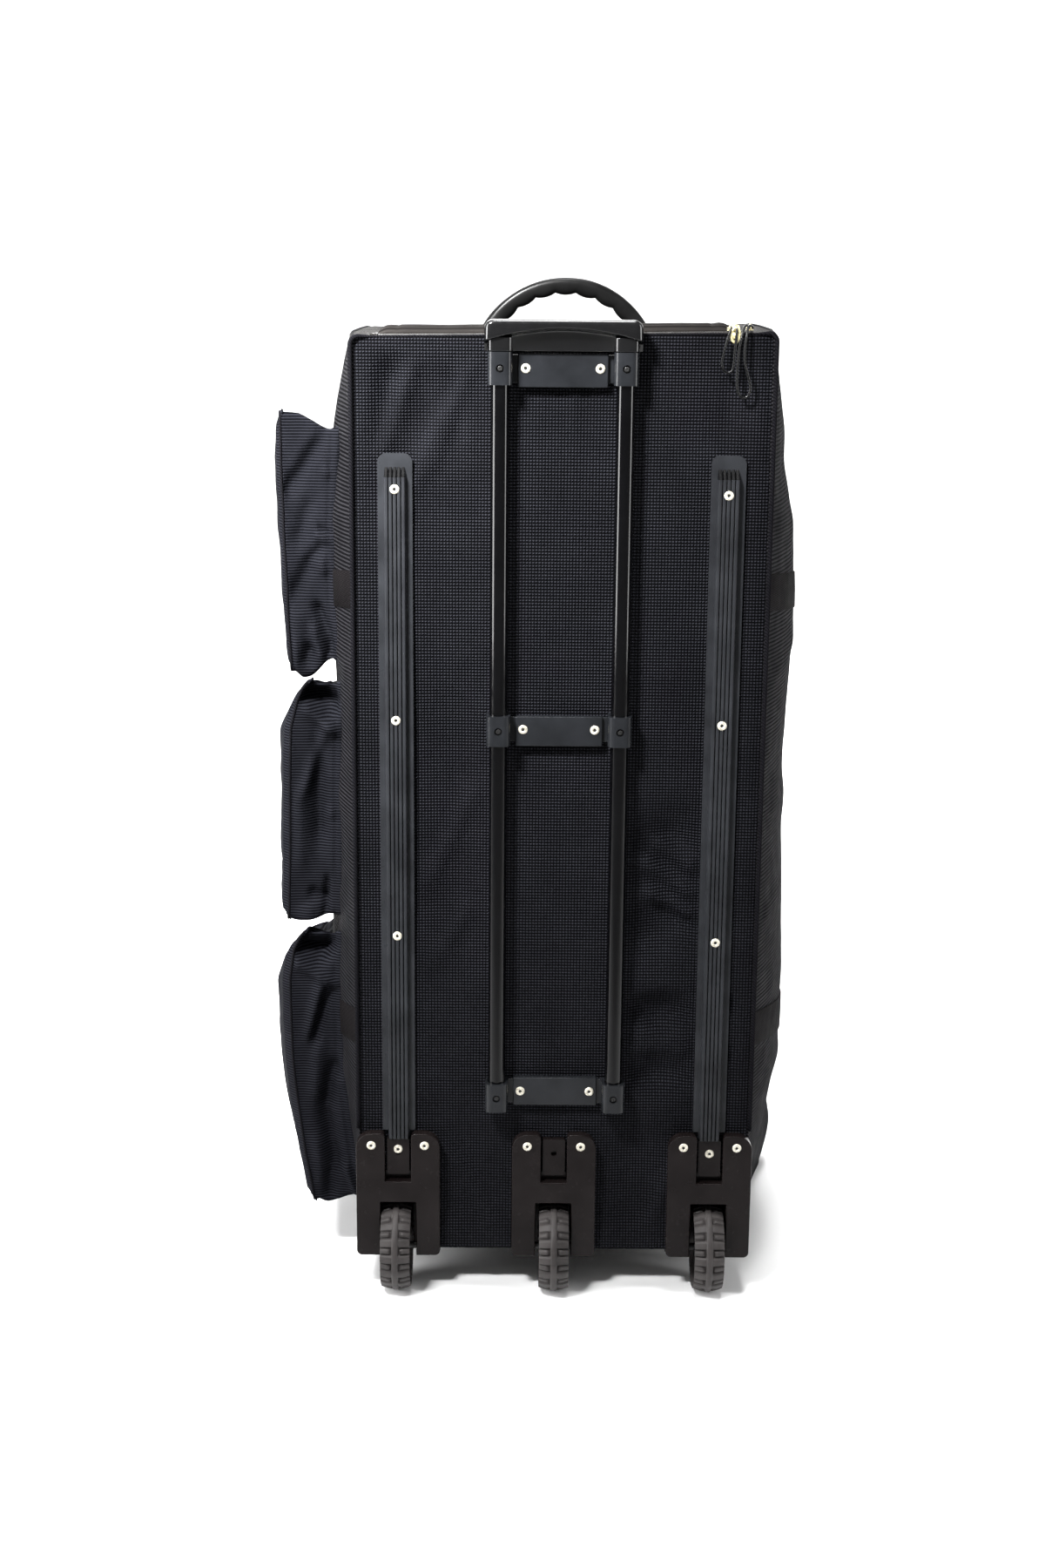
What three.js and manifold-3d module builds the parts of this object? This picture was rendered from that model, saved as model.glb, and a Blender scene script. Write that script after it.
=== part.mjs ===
// A soft wheeled kit bag that stands upright on three wheels and on the front edge of its bottom end.
// Millimetres, +Z up. The trolley panel faces -Y, and the three pockets are on the -X side.
import * as THREE from "three";
import { mergeVertices } from "three/addons/utils/BufferGeometryUtils.js";
import Module from "manifold-3d";

const wasm = await Module();
wasm.setup();

// Driving dimensions of the soft body
const GAP = 0.3; // between pieces that touch
const SEAM = 0.4; // between cloth panels
const SUNK = 3; // pieces sewn on the cloth reach this far under its face before they are trimmed
const CLOTH = 2.5; // wall of the cloth panels
const STIFF = 3; // wall of the trolley panel
const PANEL_HALF = 216; // half the trolley panel's width
const PANEL_CORNER = 9; // radius of its top corners
const BODY_TOP = 1057;
const BODY_BOTTOM = 48; // lower edge beside the wheels
const BODY_DEPTH = 390;
const BELLY_START = 80; // the bottom end leaves the wheel level here
const BELLY_END = 300; // and rests on the floor from here on
const TOP_SAG = 8; // the top end's cloth sinks this much at its middle
const TOP_TILT = 3; // the right top corner is this much over the middle
const FRONT_CROWN = 24;
const FRONT_FULLNESS = 0.6; // under 1, the front's crown is flat and full
const FAR_ROUND = 48; // the cloth starts to round off this far before the front panel
const FAR_SIDE_IN = 24; // and has come in this much at the side seams,
const FAR_TOP_DOWN = 14; // down this much at the top seam
const FAR_BOTTOM_UP = 10; // and up this much at the bottom seam
const PIPING_RADIUS = 2.8;
const PIPING_ASIDE = 1; // the piping's centre line lies this far outside the panel's edge
const PIPING_OVER = 3; // and its ends this far over the wheel housings
const BEYOND = 5; // a cutting shape reaches this far past what it cuts

// Where the side, top and bottom cloth starts and ends, and how finely the cloth is divided
const CLOTH_NEAR = STIFF + SEAM;
const CLOTH_FAR = BODY_DEPTH - CLOTH - SEAM;
const CORE_DEEP = 30;
const DEPTH_STEPS = 9;
const HEIGHT_STEPS = 11;
const WIDTH_STEPS = 8;
const PANEL_COLUMNS = 9;
const PANEL_ROWS = 11;
const DEPTH_DRAW = 1.4; // over 1, the stations draw together towards the rounded far corners
const RISE_DRAW = 1.3; // over 1, the rows draw together towards the flared foot

// Side cloth by height: how far each side stands out at mid-depth, and the flare towards the front seam
const SIDE_ROWS = [
  { z: 0, left: 0, right: 0, flare: 66 },
  { z: 40, left: 1, right: 1, flare: 84 },
  { z: 80, left: 4, right: 5, flare: 80 },
  { z: 115, left: 10, right: 14, flare: 62 },
  { z: 160, left: 22, right: 33, flare: 32 },
  { z: 240, left: 38, right: 48, flare: 18 },
  { z: 340, left: 42, right: 49, flare: 12 },
  { z: 470, left: 37, right: 45, flare: 10 },
  { z: 580, left: 36, right: 41, flare: 10 },
  { z: 680, left: 32, right: 46, flare: 10 },
  { z: 750, left: 42, right: 49, flare: 10 },
  { z: 830, left: 44, right: 45, flare: 10 },
  { z: 900, left: 40, right: 36, flare: 10 },
  { z: 980, left: 29, right: 27, flare: 8 },
  { z: BODY_TOP, left: 10, right: 10, flare: 6 },
];

// Dents of the trolley panel: centre, half length, half width, turn from the X axis in degrees, depth
const DENT_ROWS = [
  { x: -150, z: 955, length: 110, width: 45, turn: 64, depth: 4 },
  { x: 118, z: 480, length: 130, width: 45, turn: 80, depth: 4 },
  { x: 120, z: 300, length: 90, width: 45, turn: 60, depth: 3.5 },
  { x: -112, z: 560, length: 140, width: 45, turn: 92, depth: 3 },
  { x: 90, z: 130, length: 70, width: 45, turn: 70, depth: 4 },
  { x: -88, z: 140, length: 70, width: 45, turn: 105, depth: 3 },
];
const DENT_CLEAR = 12; // the dents fade out this far from the panel's edges
const DENT_FULL = 45; // and are at their full depth from here on

// Side pockets: rim on the side cloth, and how far the outer edge is drawn up and down from it
const POCKET_NEAR = 72;
const POCKET_FAR = 322;
const POCKET_WALL = 2;
const POCKET_CHAMFER = 6;
const POCKET_STEPS = { across: 2, up: 5 };
const POCKET_FLAT = 0.5; // share of the side's bulge that the outer face doesn't follow
const POCKET_ROWS = [
  {
    name: "upper_pocket", low: 703, high: 956, drawUp: 22, drawDown: 12, topSag: 20,
    reach: [{ z: 690, out: 56 }, { z: 790, out: 54 }, { z: 870, out: 58 }, { z: 975, out: 68 }],
  },
  {
    name: "middle_pocket", low: 414, high: 686, drawUp: 3, drawDown: 9, topSag: 6,
    reach: [{ z: 400, out: 66 }, { z: 560, out: 64 }, { z: 645, out: 60 }, { z: 690, out: 24 }],
  },
  {
    name: "lower_pocket", low: 75, high: 402, drawUp: 2, drawDown: 12, topSag: 6,
    reach: [{ z: 60, out: 59 }, { z: 130, out: 65 }, { z: 340, out: 65 }, { z: 402, out: 26 }],
  },
];
// Rings of a pocket from rim to crown: how far in from the rim, share of the reach, extra crown
const POCKET_RINGS = [
  { inset: 0, share: 0, crown: 0 },
  { inset: 5, share: 0.5, crown: 0 },
  { inset: 1, share: 0.97, crown: 0 },
  { inset: 9, share: 1, crown: 2 },
  { inset: 62, share: 1, crown: 7 },
];

// Webbing round the sides and the front: heights at the trolley panel, and the fall for each unit of depth
const STRAP_OUT = 2; // how far its face stands off the cloth
const STUB_SHORT = 1; // a stub, and the long band, end this far before the pockets
const STRAP_BACK_STEPS = 4; // stations of the long band on the left side
const STRAP_ROWS = [
  { name: "upper_strap", low: 774, high: 814, fall: 0.12 },
  { name: "lower_strap", low: 291, high: 331, fall: 0.2 },
];

// Top end: flap, zip, sliders, pulls and grab handle
const FLAP_LOW = { x: -190, y: 10.5 };
const FLAP_HIGH = { x: 173, y: 112 };
const FLAP_RISE = 12;
const FLAP_STEPS = { across: 4, up: 1 };
const FLAP_RINGS = [
  { inset: 0, share: 0 },
  { inset: 1.5, share: 0.65 },
  { inset: 8, share: 1 },
];
const ZIP_LEFT = -196;
const ZIP_RIGHT = 192;
const ZIP_NEAR = 6.6;
const ZIP_FAR = 114;
const ZIP_TURN = 12; // corner radius of the zip's run
const ZIP_HALF = 2.6;
const ZIP_TALL = 2.2;
const SLIDER_LONG = 13;
const SLIDER_WIDE = 7.6;
const SLIDER_TALL = 6;
const SLIDER_EDGE = 0.6; // bevel
const BRIDGE_HALF = 1.4; // half the width of the slider's bridge
const PULL_RADIUS = 1.3;
const HANDLE_Y = 190;
const HANDLE_X = 5;
const HANDLE_HALF = 96; // half the arch's outer chord, just under the cloth's face
const HANDLE_RISE = 62; // its height over that chord
const HANDLE_TOP = 1112;
const HANDLE_WIDE = 24;
const HANDLE_THICK = 16;
const FINGER_WAVES = 6;
const FINGER_DEPTH = 2.2;
const HANDLE_STEPS = 18;

// Trolley
const TUBE_X = 64;
const TUBE_OUT = 14; // centre line, out from the trolley panel
const TUBE_RADIUS = 9.5;
const TUBE_BORE = 8.2;
const INNER_RADIUS = 7.6;
const INNER_BORE = 6.4;
const TUBE_SIDES = 12;
const SCREW_SIDES = 8;
const TUBE_LOW = 223;
const TUBE_HIGH = 1038;
const INNER_LOW = 240;
const CLAMP_HALF = 12.5;
const CLAMP_OUT = 27;
const CLAMP_ROUND = 4;
const PLATE_HALF = 46;
const PLATE_OUT = 9;
const WEB_OUT = 4.5;
const WEB_SUNK = 2; // the web reaches this far into the clamps
const WEB_INSET = 1; // and ends this far inside the plate's and the clamps' ends
const SCREW_RADIUS = 4.2;
const SCREW_DEEP = 3;
const TUBE_FREE = GAP + 0.15; // round the tubes in their clamps
const BRACKET_ROWS = [
  { name: "top_bracket", low: 1007, high: 1040, plateLow: 1004, plateHigh: 1038 },
  { name: "middle_bracket", low: 633, high: 665, plateLow: 630, plateHigh: 662 },
  { name: "bottom_bracket", low: 222, high: 254, plateLow: 224, plateHigh: 256 },
];
const GRIP_HALF = 80;
const GRIP_LOW = 1040.4;
const GRIP_HIGH = 1072;
const GRIP_BACK = 8;
const GRIP_OUT = 31;
const GRIP_ROUND = 9;
const GRIP_EDGE = 3; // bevel
const SCOOP_HALF = 62;
const SCOOP_SIDE = 1045;
const SCOOP_CROWN = 1058;
const SCOOP_BACK = 15; // the finger scoop stops this far out from the panel

// Skid rails
const RAIL_X = 172;
const RAIL_LOW = 183.5;
const RAIL_FLANGE_LOW = 191;
const RAIL_HIGH = 936;
const RAIL_RIB_HIGH = 922;
const RAIL_RAMP = 24;
const RAIL_HALF = 18;
const RAIL_FLANGE = 3;
const RAIL_RIB_HALF = 12;
const RAIL_FACE_HALF = 10;
const RAIL_OUT = 11;
const RAIL_FLUTE = 1.5; // depth of the rib's flutes
const FLUTE_HALF = 2.2; // half their width at the face
const FLUTE_FLOOR = 1; // and at the bottom
const RAIL_CORNER = 9;

// Wheels and housings
const WHEEL_ROWS = [
  { name: "left", x: -173, shift: -2.6 },
  { name: "centre", x: 0, shift: 0.8 },
  { name: "right", x: 173, shift: 0.6 },
];
const WHEEL_RADIUS = 50;
const WHEEL_Y = 3;
const TYRE_HALF = 16.5;
const TYRE_BORE = 37;
const TYRE_TAPER = 2.5; // the tyre is this much narrower at its bore, on each side
const TREAD_BLOCKS = 8;
const TREAD_UNDER = 1.4; // the blocks lie this far under the middle rib,
const TREAD_DROP = 3.6; // fall this much to the shoulder
const TREAD_DEEP = 2.6; // and are this deep
const TREAD_EDGE = 0.1; // share of a step that a block's sides slope
const RIB_HALF = 2.8;
const HUB_HALF = 13;
const HUB_SIDES = 12;
const HUB_BOSS = 12; // radius of the boss round the axle
const HUB_SLOPE = 2; // its foot is this much wider
const HUB_DISH = 4; // the hub's web lies this deep
const AXLE_RADIUS = 4;
const AXLE_HALF = 22.4;
const HOUSING_HALF = 46.5;
const HOUSING_LOW = 44.4;
const HOUSING_HIGH = 190;
const HOUSING_OUT = 13;
const HOUSING_ROUND = 17;
const HOUSING_EDGE = 2; // bevel
const HOUSING_CHAMFER = 5; // cut corners beside the channel and at the sole
const PIN_SIDES = 12;
const CHANNEL_HALF = 14.5;
const CHANNEL_LOW = 133;
const TAB_HALF = 12.4;
const TAB_HIGH = 182.5;
const TAB_OUT = 7;
const TAB_HOLE = 3.2;
const TAB_HOLE_Z = 166;
const WELL_HALF = 20;
const WELL_WALL = 2.6;
const WELL_BOW = 2; // the cloth is cut this much further back behind the middle of a well
const WELL_HIGH = 108.5;
const WELL_DEEP = 59.5;
const WELL_LOW = 40;
const SOLE_DEEP = 66;
const SOLE_THICK = 3.2;

// Colours and finishes of the pieces
const LOOKS = {
  panelCloth: { color: 0x24242c, roughness: 0.85, metalness: 0 },
  sideCloth: { color: 0x201f22, roughness: 0.8, metalness: 0 },
  pocketCloth: { color: 0x1f2026, roughness: 0.6, metalness: 0 },
  webbing: { color: 0x1b1a1c, roughness: 0.75, metalness: 0 },
  piping: { color: 0x17171a, roughness: 0.55, metalness: 0 },
  zip: { color: 0x1a1815, roughness: 0.6, metalness: 0 },
  sliderMetal: { color: 0xd2c48a, roughness: 0.25, metalness: 1 },
  cord: { color: 0x121214, roughness: 0.6, metalness: 0 },
  softGrip: { color: 0x141414, roughness: 0.5, metalness: 0 },
  glossPlastic: { color: 0x1d1c1e, roughness: 0.3, metalness: 0 },
  satinPlastic: { color: 0x2d2e30, roughness: 0.45, metalness: 0 },
  housingPlastic: { color: 0x231f1e, roughness: 0.5, metalness: 0 },
  tubeBlack: { color: 0x161617, roughness: 0.2, metalness: 0.6 },
  rubber: { color: 0x3a3938, roughness: 0.8, metalness: 0 },
  hubPlastic: { color: 0x1c1b1b, roughness: 0.5, metalness: 0 },
  steel: { color: 0x9a9a98, roughness: 0.35, metalness: 1 },
};

const point = (x, y, z) => new THREE.Vector3(x, y, z);
const { lerp, smoothstep, degToRad } = THREE.MathUtils;

// Reads a column of a table that runs upwards in z, straight between its rows.
function tableValue(rows, column, z) {
  if (z <= rows[0].z) return rows[0][column];
  for (let i = 1; i < rows.length; i += 1) {
    const [below, above] = [rows[i - 1], rows[i]];
    if (z <= above.z) return lerp(below[column], above[column], (z - below.z) / (above.z - below.z));
  }
  return rows.at(-1)[column];
}

// Outer surfaces of the soft body
const arch = (share) => 4 * share * (1 - share);
const rounding = (y) => Math.max(0, (y - BODY_DEPTH + FAR_ROUND) / FAR_ROUND) ** 2;

function halfWidth(side, y, z) {
  const deep = y / BODY_DEPTH;
  const bulge = arch(deep) * tableValue(SIDE_ROWS, side < 0 ? "left" : "right", z);
  const flare = deep ** 2 * tableValue(SIDE_ROWS, "flare", z);
  return PANEL_HALF + bulge + flare - FAR_SIDE_IN * rounding(y);
}

// X from the left side cloth to the right one, for a share from 0 to 1
const across = (share, y, z) => lerp(-halfWidth(-1, y, z), halfWidth(1, y, z), share);

function bottomHeight(y) {
  return BODY_BOTTOM * (1 - smoothstep(y, BELLY_START, BELLY_END)) + FAR_BOTTOM_UP * rounding(y);
}

const topSeam = (x, y) => BODY_TOP + (TOP_TILT * x) / PANEL_HALF - FAR_TOP_DOWN * rounding(y);

function topHeight(x, y) {
  const fromMiddle = x / halfWidth(x, y, BODY_TOP);
  return topSeam(x, y) - TOP_SAG * (1 - fromMiddle ** 4) * arch(y / BODY_DEPTH);
}

function frontDepth(x, z) {
  const fromMiddle = x / halfWidth(x, BODY_DEPTH, z);
  return BODY_DEPTH + FRONT_CROWN * (1 - fromMiddle ** 4) * arch(z / BODY_TOP) ** FRONT_FULLNESS;
}

function panelDent(x, z) {
  const fromSide = smoothstep(PANEL_HALF - Math.abs(x), DENT_CLEAR, DENT_FULL);
  const fromEnd = smoothstep(Math.min(BODY_TOP - z, z - BODY_BOTTOM), DENT_CLEAR, DENT_FULL);
  let depth = 0;
  for (const row of DENT_ROWS) {
    const turn = degToRad(row.turn);
    const along = (x - row.x) * Math.cos(turn) + (z - row.z) * Math.sin(turn);
    const aside = (z - row.z) * Math.cos(turn) - (x - row.x) * Math.sin(turn);
    depth += row.depth * Math.exp(-((along / row.length) ** 2) - (aside / row.width) ** 2);
  }
  return depth * fromSide * fromEnd;
}

// Makes one closed body of a geometry: shared corners are merged, and its faces are turned out.
function faceOut(geometry) {
  const bare = new THREE.BufferGeometry();
  const loose = geometry.index ? geometry.toNonIndexed() : geometry;
  bare.setAttribute("position", loose.getAttribute("position"));
  const merged = mergeVertices(bare, 1e-3);
  const corner = [point(0, 0, 0), point(0, 0, 0), point(0, 0, 0)];
  const kept = [];
  let volume = 0;
  for (let i = 0; i < merged.index.count; i += 3) {
    const ids = [0, 1, 2].map((k) => merged.index.getX(i + k));
    if (new Set(ids).size < 3) continue;
    kept.push(ids);
    ids.forEach((id, k) => corner[k].fromBufferAttribute(merged.attributes.position, id));
    volume += corner[0].dot(corner[1].clone().cross(corner[2]));
  }
  if (volume < 0) kept.forEach((ids) => ids.reverse());
  merged.setIndex(kept.flat());
  return merged;
}

function solid(geometry) {
  const closed = faceOut(geometry);
  const vertProperties = new Float32Array(closed.attributes.position.array);
  const triVerts = new Uint32Array(closed.index.array);
  return new wasm.Manifold(new wasm.Mesh({ numProp: 3, vertProperties, triVerts }));
}

function geometryOf(made) {
  const mesh = made.getMesh();
  const geometry = new THREE.BufferGeometry();
  geometry.setAttribute("position", new THREE.BufferAttribute(new Float32Array(mesh.vertProperties), 3));
  geometry.setIndex(new THREE.BufferAttribute(new Uint32Array(mesh.triVerts), 1));
  return geometry;
}

function join(first, ...others) {
  return geometryOf(others.reduce((made, next) => made.add(solid(next)), solid(first)));
}

function cut(first, ...others) {
  return geometryOf(others.reduce((made, next) => made.subtract(solid(next)), solid(first)));
}

function fromCorners(points, triangles) {
  const geometry = new THREE.BufferGeometry().setFromPoints(points);
  geometry.setIndex(triangles.flat());
  return geometry;
}

// A wall between an outer and an inner surface, each a function of two shares from 0 to 1.
function slab(columns, rows, outer, inner) {
  const points = [];
  for (const surface of [outer, inner]) {
    for (let r = 0; r <= rows; r += 1) {
      for (let c = 0; c <= columns; c += 1) points.push(surface(c / columns, r / rows));
    }
  }
  const at = (side, c, r) => (side * (rows + 1) + r) * (columns + 1) + c;
  const triangles = [];
  const quad = (a, b, c, d) => triangles.push([a, b, c], [a, c, d]);
  for (let r = 0; r < rows; r += 1) {
    for (let c = 0; c < columns; c += 1) {
      quad(at(0, c, r), at(0, c + 1, r), at(0, c + 1, r + 1), at(0, c, r + 1));
      quad(at(1, c, r), at(1, c, r + 1), at(1, c + 1, r + 1), at(1, c + 1, r));
    }
    quad(at(0, 0, r), at(0, 0, r + 1), at(1, 0, r + 1), at(1, 0, r));
    quad(at(0, columns, r), at(1, columns, r), at(1, columns, r + 1), at(0, columns, r + 1));
  }
  for (let c = 0; c < columns; c += 1) {
    quad(at(0, c, 0), at(1, c, 0), at(1, c + 1, 0), at(0, c + 1, 0));
    quad(at(0, c, rows), at(0, c + 1, rows), at(1, c + 1, rows), at(1, c, rows));
  }
  return fromCorners(points, triangles);
}

// A hollow tray: closed rings of corners from the rim to the crown, outside and then inside.
function tray(outerRings, innerRings) {
  const around = outerRings[0].length;
  const rings = outerRings.length;
  const points = [];
  const crowns = [];
  for (const side of [outerRings, innerRings]) {
    side.forEach((ring) => points.push(...ring));
    const crown = point(0, 0, 0);
    side.at(-1).forEach((corner) => crown.addScaledVector(corner, 1 / around));
    crowns.push(points.length);
    points.push(crown);
  }
  const at = (side, k, i) => side * (rings * around + 1) + k * around + (i % around);
  const triangles = [];
  const quad = (a, b, c, d) => triangles.push([a, b, c], [a, c, d]);
  for (let i = 0; i < around; i += 1) {
    for (let k = 0; k + 1 < rings; k += 1) {
      quad(at(0, k, i), at(0, k, i + 1), at(0, k + 1, i + 1), at(0, k + 1, i));
      quad(at(1, k, i + 1), at(1, k, i), at(1, k + 1, i), at(1, k + 1, i + 1));
    }
    triangles.push([at(0, rings - 1, i), at(0, rings - 1, i + 1), crowns[0]]);
    triangles.push([at(1, rings - 1, i + 1), at(1, rings - 1, i), crowns[1]]);
    quad(at(0, 0, i + 1), at(0, 0, i), at(1, 0, i), at(1, 0, i + 1));
  }
  return fromCorners(points, triangles);
}

// A closed rectangle of points with cut corners, its sides divided evenly.
function rimLoop(low, high, chamfer, steps) {
  const ends = [
    [[low.a + chamfer, low.b], [high.a - chamfer, low.b], steps.across],
    [[high.a, low.b + chamfer], [high.a, high.b - chamfer], steps.up],
    [[high.a - chamfer, high.b], [low.a + chamfer, high.b], steps.across],
    [[low.a, high.b - chamfer], [low.a, low.b + chamfer], steps.up],
  ];
  const loop = [];
  for (const [from, to, count] of ends) {
    for (let i = 0; i <= count; i += 1) {
      loop.push({ a: lerp(from[0], to[0], i / count), b: lerp(from[1], to[1], i / count) });
    }
  }
  return loop;
}

// A bar along a path. The section gives each corner of a ring as side and lift from the path.
function bar(path, up, section) {
  const points = [];
  const triangles = [];
  const rings = path.map((centre, k) => {
    const before = path[Math.max(k - 1, 0)];
    const after = path[Math.min(k + 1, path.length - 1)];
    const along = after.clone().sub(before).normalize();
    const side = along.clone().cross(up).normalize();
    const lift = side.clone().cross(along);
    return section(k / (path.length - 1)).map(([s, l]) => {
      points.push(centre.clone().addScaledVector(side, s).addScaledVector(lift, l));
      return points.length - 1;
    });
  });
  const sides = rings[0].length;
  for (let k = 0; k + 1 < rings.length; k += 1) {
    for (let i = 0; i < sides; i += 1) {
      const [a, b] = [rings[k][i], rings[k][(i + 1) % sides]];
      const [c, d] = [rings[k + 1][(i + 1) % sides], rings[k + 1][i]];
      triangles.push([a, b, c], [a, c, d]);
    }
  }
  for (let i = 1; i + 1 < sides; i += 1) {
    triangles.push([rings[0][0], rings[0][i + 1], rings[0][i]]);
    triangles.push([rings.at(-1)[0], rings.at(-1)[i], rings.at(-1)[i + 1]]);
  }
  return fromCorners(points, triangles);
}

function roundSection(radius, sides) {
  return Array.from({ length: sides }, (unused, i) => {
    const turn = (2 * Math.PI * i) / sides;
    return [radius * Math.cos(turn), radius * Math.sin(turn)];
  });
}

// Points of a quarter turn in the plane that the two directions span.
function quarter(centre, from, to, radius, steps) {
  return Array.from({ length: steps + 1 }, (unused, i) => {
    const turn = (Math.PI / 2) * (i / steps);
    return centre
      .clone()
      .addScaledVector(from, radius * Math.cos(turn))
      .addScaledVector(to, radius * Math.sin(turn));
  });
}

function box(low, high) {
  const size = high.clone().sub(low);
  const middle = low.clone().add(high).multiplyScalar(0.5);
  return new THREE.BoxGeometry(size.x, size.y, size.z).translate(middle.x, middle.y, middle.z);
}

// A tube or pin that stands upright, from a radius, a bore (0 for a pin) and two heights.
function upright(radius, bore, low, high, sides) {
  const profile = [[bore, low], [radius, low], [radius, high], [bore, high], [bore, low]];
  const lathe = new THREE.LatheGeometry(profile.map(([r, z]) => new THREE.Vector2(r, z)), sides);
  return lathe.rotateX(Math.PI / 2);
}

// A flat outline drawn in X and Z, extruded out from the trolley panel.
function plateOut(outline, from, to, bevel, curveSegments = 3) {
  const depth = to - from - 2 * bevel;
  const settings = { depth, curveSegments, bevelEnabled: bevel > 0, bevelSegments: 1 };
  Object.assign(settings, { bevelThickness: bevel, bevelSize: bevel, bevelOffset: -bevel });
  return new THREE.ExtrudeGeometry(outline, settings).rotateX(Math.PI / 2).translate(0, -from - bevel, 0);
}

const bag = new THREE.Group();

function addPiece(name, geometry, look, parent = bag) {
  const mesh = new THREE.Mesh(faceOut(geometry), new THREE.MeshStandardMaterial(LOOKS[look]));
  mesh.name = name;
  parent.add(mesh);
  return mesh;
}

// Room that each wheel well takes out of the trolley panel and the bottom end
function wellRooms() {
  const room = WELL_HALF + WELL_WALL + SEAM;
  const far = WELL_DEEP + WELL_WALL + SEAM;
  const high = WELL_HIGH + WELL_WALL + SEAM;
  return WHEEL_ROWS.map(({ x }) => {
    const plan = new THREE.Shape();
    plan.moveTo(x - room, -far).lineTo(x + room, -far).lineTo(x + room, far);
    plan.lineTo(x, far + WELL_BOW).lineTo(x - room, far);
    return new THREE.ExtrudeGeometry(plan, { depth: high, bevelEnabled: false });
  });
}

function addTrolleyPanel() {
  const surface = (wall) => (u, v) => {
    const x = PANEL_HALF * Math.sin((Math.PI / 2) * (2 * u - 1));
    const intoCorner = Math.max(0, Math.abs(x) - PANEL_HALF + PANEL_CORNER);
    const drop = PANEL_CORNER - Math.sqrt(PANEL_CORNER ** 2 - intoCorner ** 2);
    const z = lerp(BODY_BOTTOM, topSeam(x, 0) - drop, v);
    return point(x, panelDent(x, z) + wall, z);
  };
  const wall = slab(PANEL_COLUMNS, PANEL_ROWS, surface(0), surface(STIFF));
  addPiece("trolley_panel", cut(wall, ...wellRooms()), "panelCloth");
}

// Depth of a cloth station, and share of the height of a cloth row
const depthAt = (share) => lerp(CLOTH_NEAR, CLOTH_FAR, 1 - (1 - share) ** DEPTH_DRAW);
const riseAt = (share) => share ** RISE_DRAW;

// Cloth surfaces, each at a given depth under its outer face
const sideSurface = (side) => (under) => (u, v) => {
  const y = depthAt(u);
  const z = lerp(bottomHeight(y) + CLOTH + SEAM, topSeam(side * PANEL_HALF, y) - CLOTH - SEAM, riseAt(v));
  return point(side * (halfWidth(side, y, z) - under), y, z);
};

const frontSurface = (under) => (u, v) => {
  const low = bottomHeight(BODY_DEPTH);
  const top = topSeam(lerp(-PANEL_HALF, PANEL_HALF, u), BODY_DEPTH);
  const z = lerp(low, top, riseAt(v));
  const x = across(u, BODY_DEPTH, z);
  return point(x, frontDepth(x, z) - under, z);
};

const topSurface = (under) => (u, v) => {
  const y = depthAt(v);
  const x = across(u, y, BODY_TOP);
  return point(x, y, topHeight(x, y) - under);
};

const bottomSurface = (under) => (u, v) => {
  const y = depthAt(v);
  const z = bottomHeight(y);
  return point(across(u, y, z), y, z + under);
};

// A cloth wall, and the room under a cloth face that pieces lying on it must leave free
function sideWall(side, from, to) {
  return slab(DEPTH_STEPS, HEIGHT_STEPS, sideSurface(side)(from), sideSurface(side)(to));
}
const frontWall = (from, to) => slab(WIDTH_STEPS, HEIGHT_STEPS, frontSurface(from), frontSurface(to));
const topWall = (from, to) => slab(WIDTH_STEPS, DEPTH_STEPS, topSurface(from), topSurface(to));
const sideCore = (side) => sideWall(side, -GAP, CORE_DEEP);
const frontCore = () => frontWall(-GAP, CORE_DEEP);
const topCore = () => topWall(-GAP, CORE_DEEP);

function addClothPanels() {
  addPiece("left_side_panel", sideWall(-1, 0, CLOTH), "sideCloth");
  addPiece("right_side_panel", sideWall(1, 0, CLOTH), "sideCloth");
  addPiece("front_panel", frontWall(0, CLOTH), "sideCloth");
  addPiece("top_end_panel", topWall(0, CLOTH), "sideCloth");
  const bottom = slab(WIDTH_STEPS, DEPTH_STEPS, bottomSurface(0), bottomSurface(CLOTH));
  addPiece("bottom_end_panel", cut(bottom, ...wellRooms()), "sideCloth");
}

// The piping starts above the outer wheel housings and runs up, across the top and down.
function addPiping() {
  const y = -PIPING_RADIUS - GAP;
  const side = PANEL_HALF + PIPING_ASIDE;
  const low = HOUSING_HIGH + PIPING_OVER;
  const [left, right, up] = [point(-1, 0, 0), point(1, 0, 0), point(0, 0, 1)];
  const leftTurn = point(-side + PANEL_CORNER, y, topSeam(-side, 0) - PANEL_CORNER);
  const rightTurn = point(side - PANEL_CORNER, y, topSeam(side, 0) - PANEL_CORNER);
  const path = [
    point(-side, y, low),
    ...quarter(leftTurn, left, up, PANEL_CORNER, 3),
    ...quarter(rightTurn, up, right, PANEL_CORNER, 3),
    point(side, y, low),
  ];
  const section = roundSection(PIPING_RADIUS, 6);
  addPiece("panel_piping", bar(path, point(0, 1, 0), () => section), "piping");
}

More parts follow.
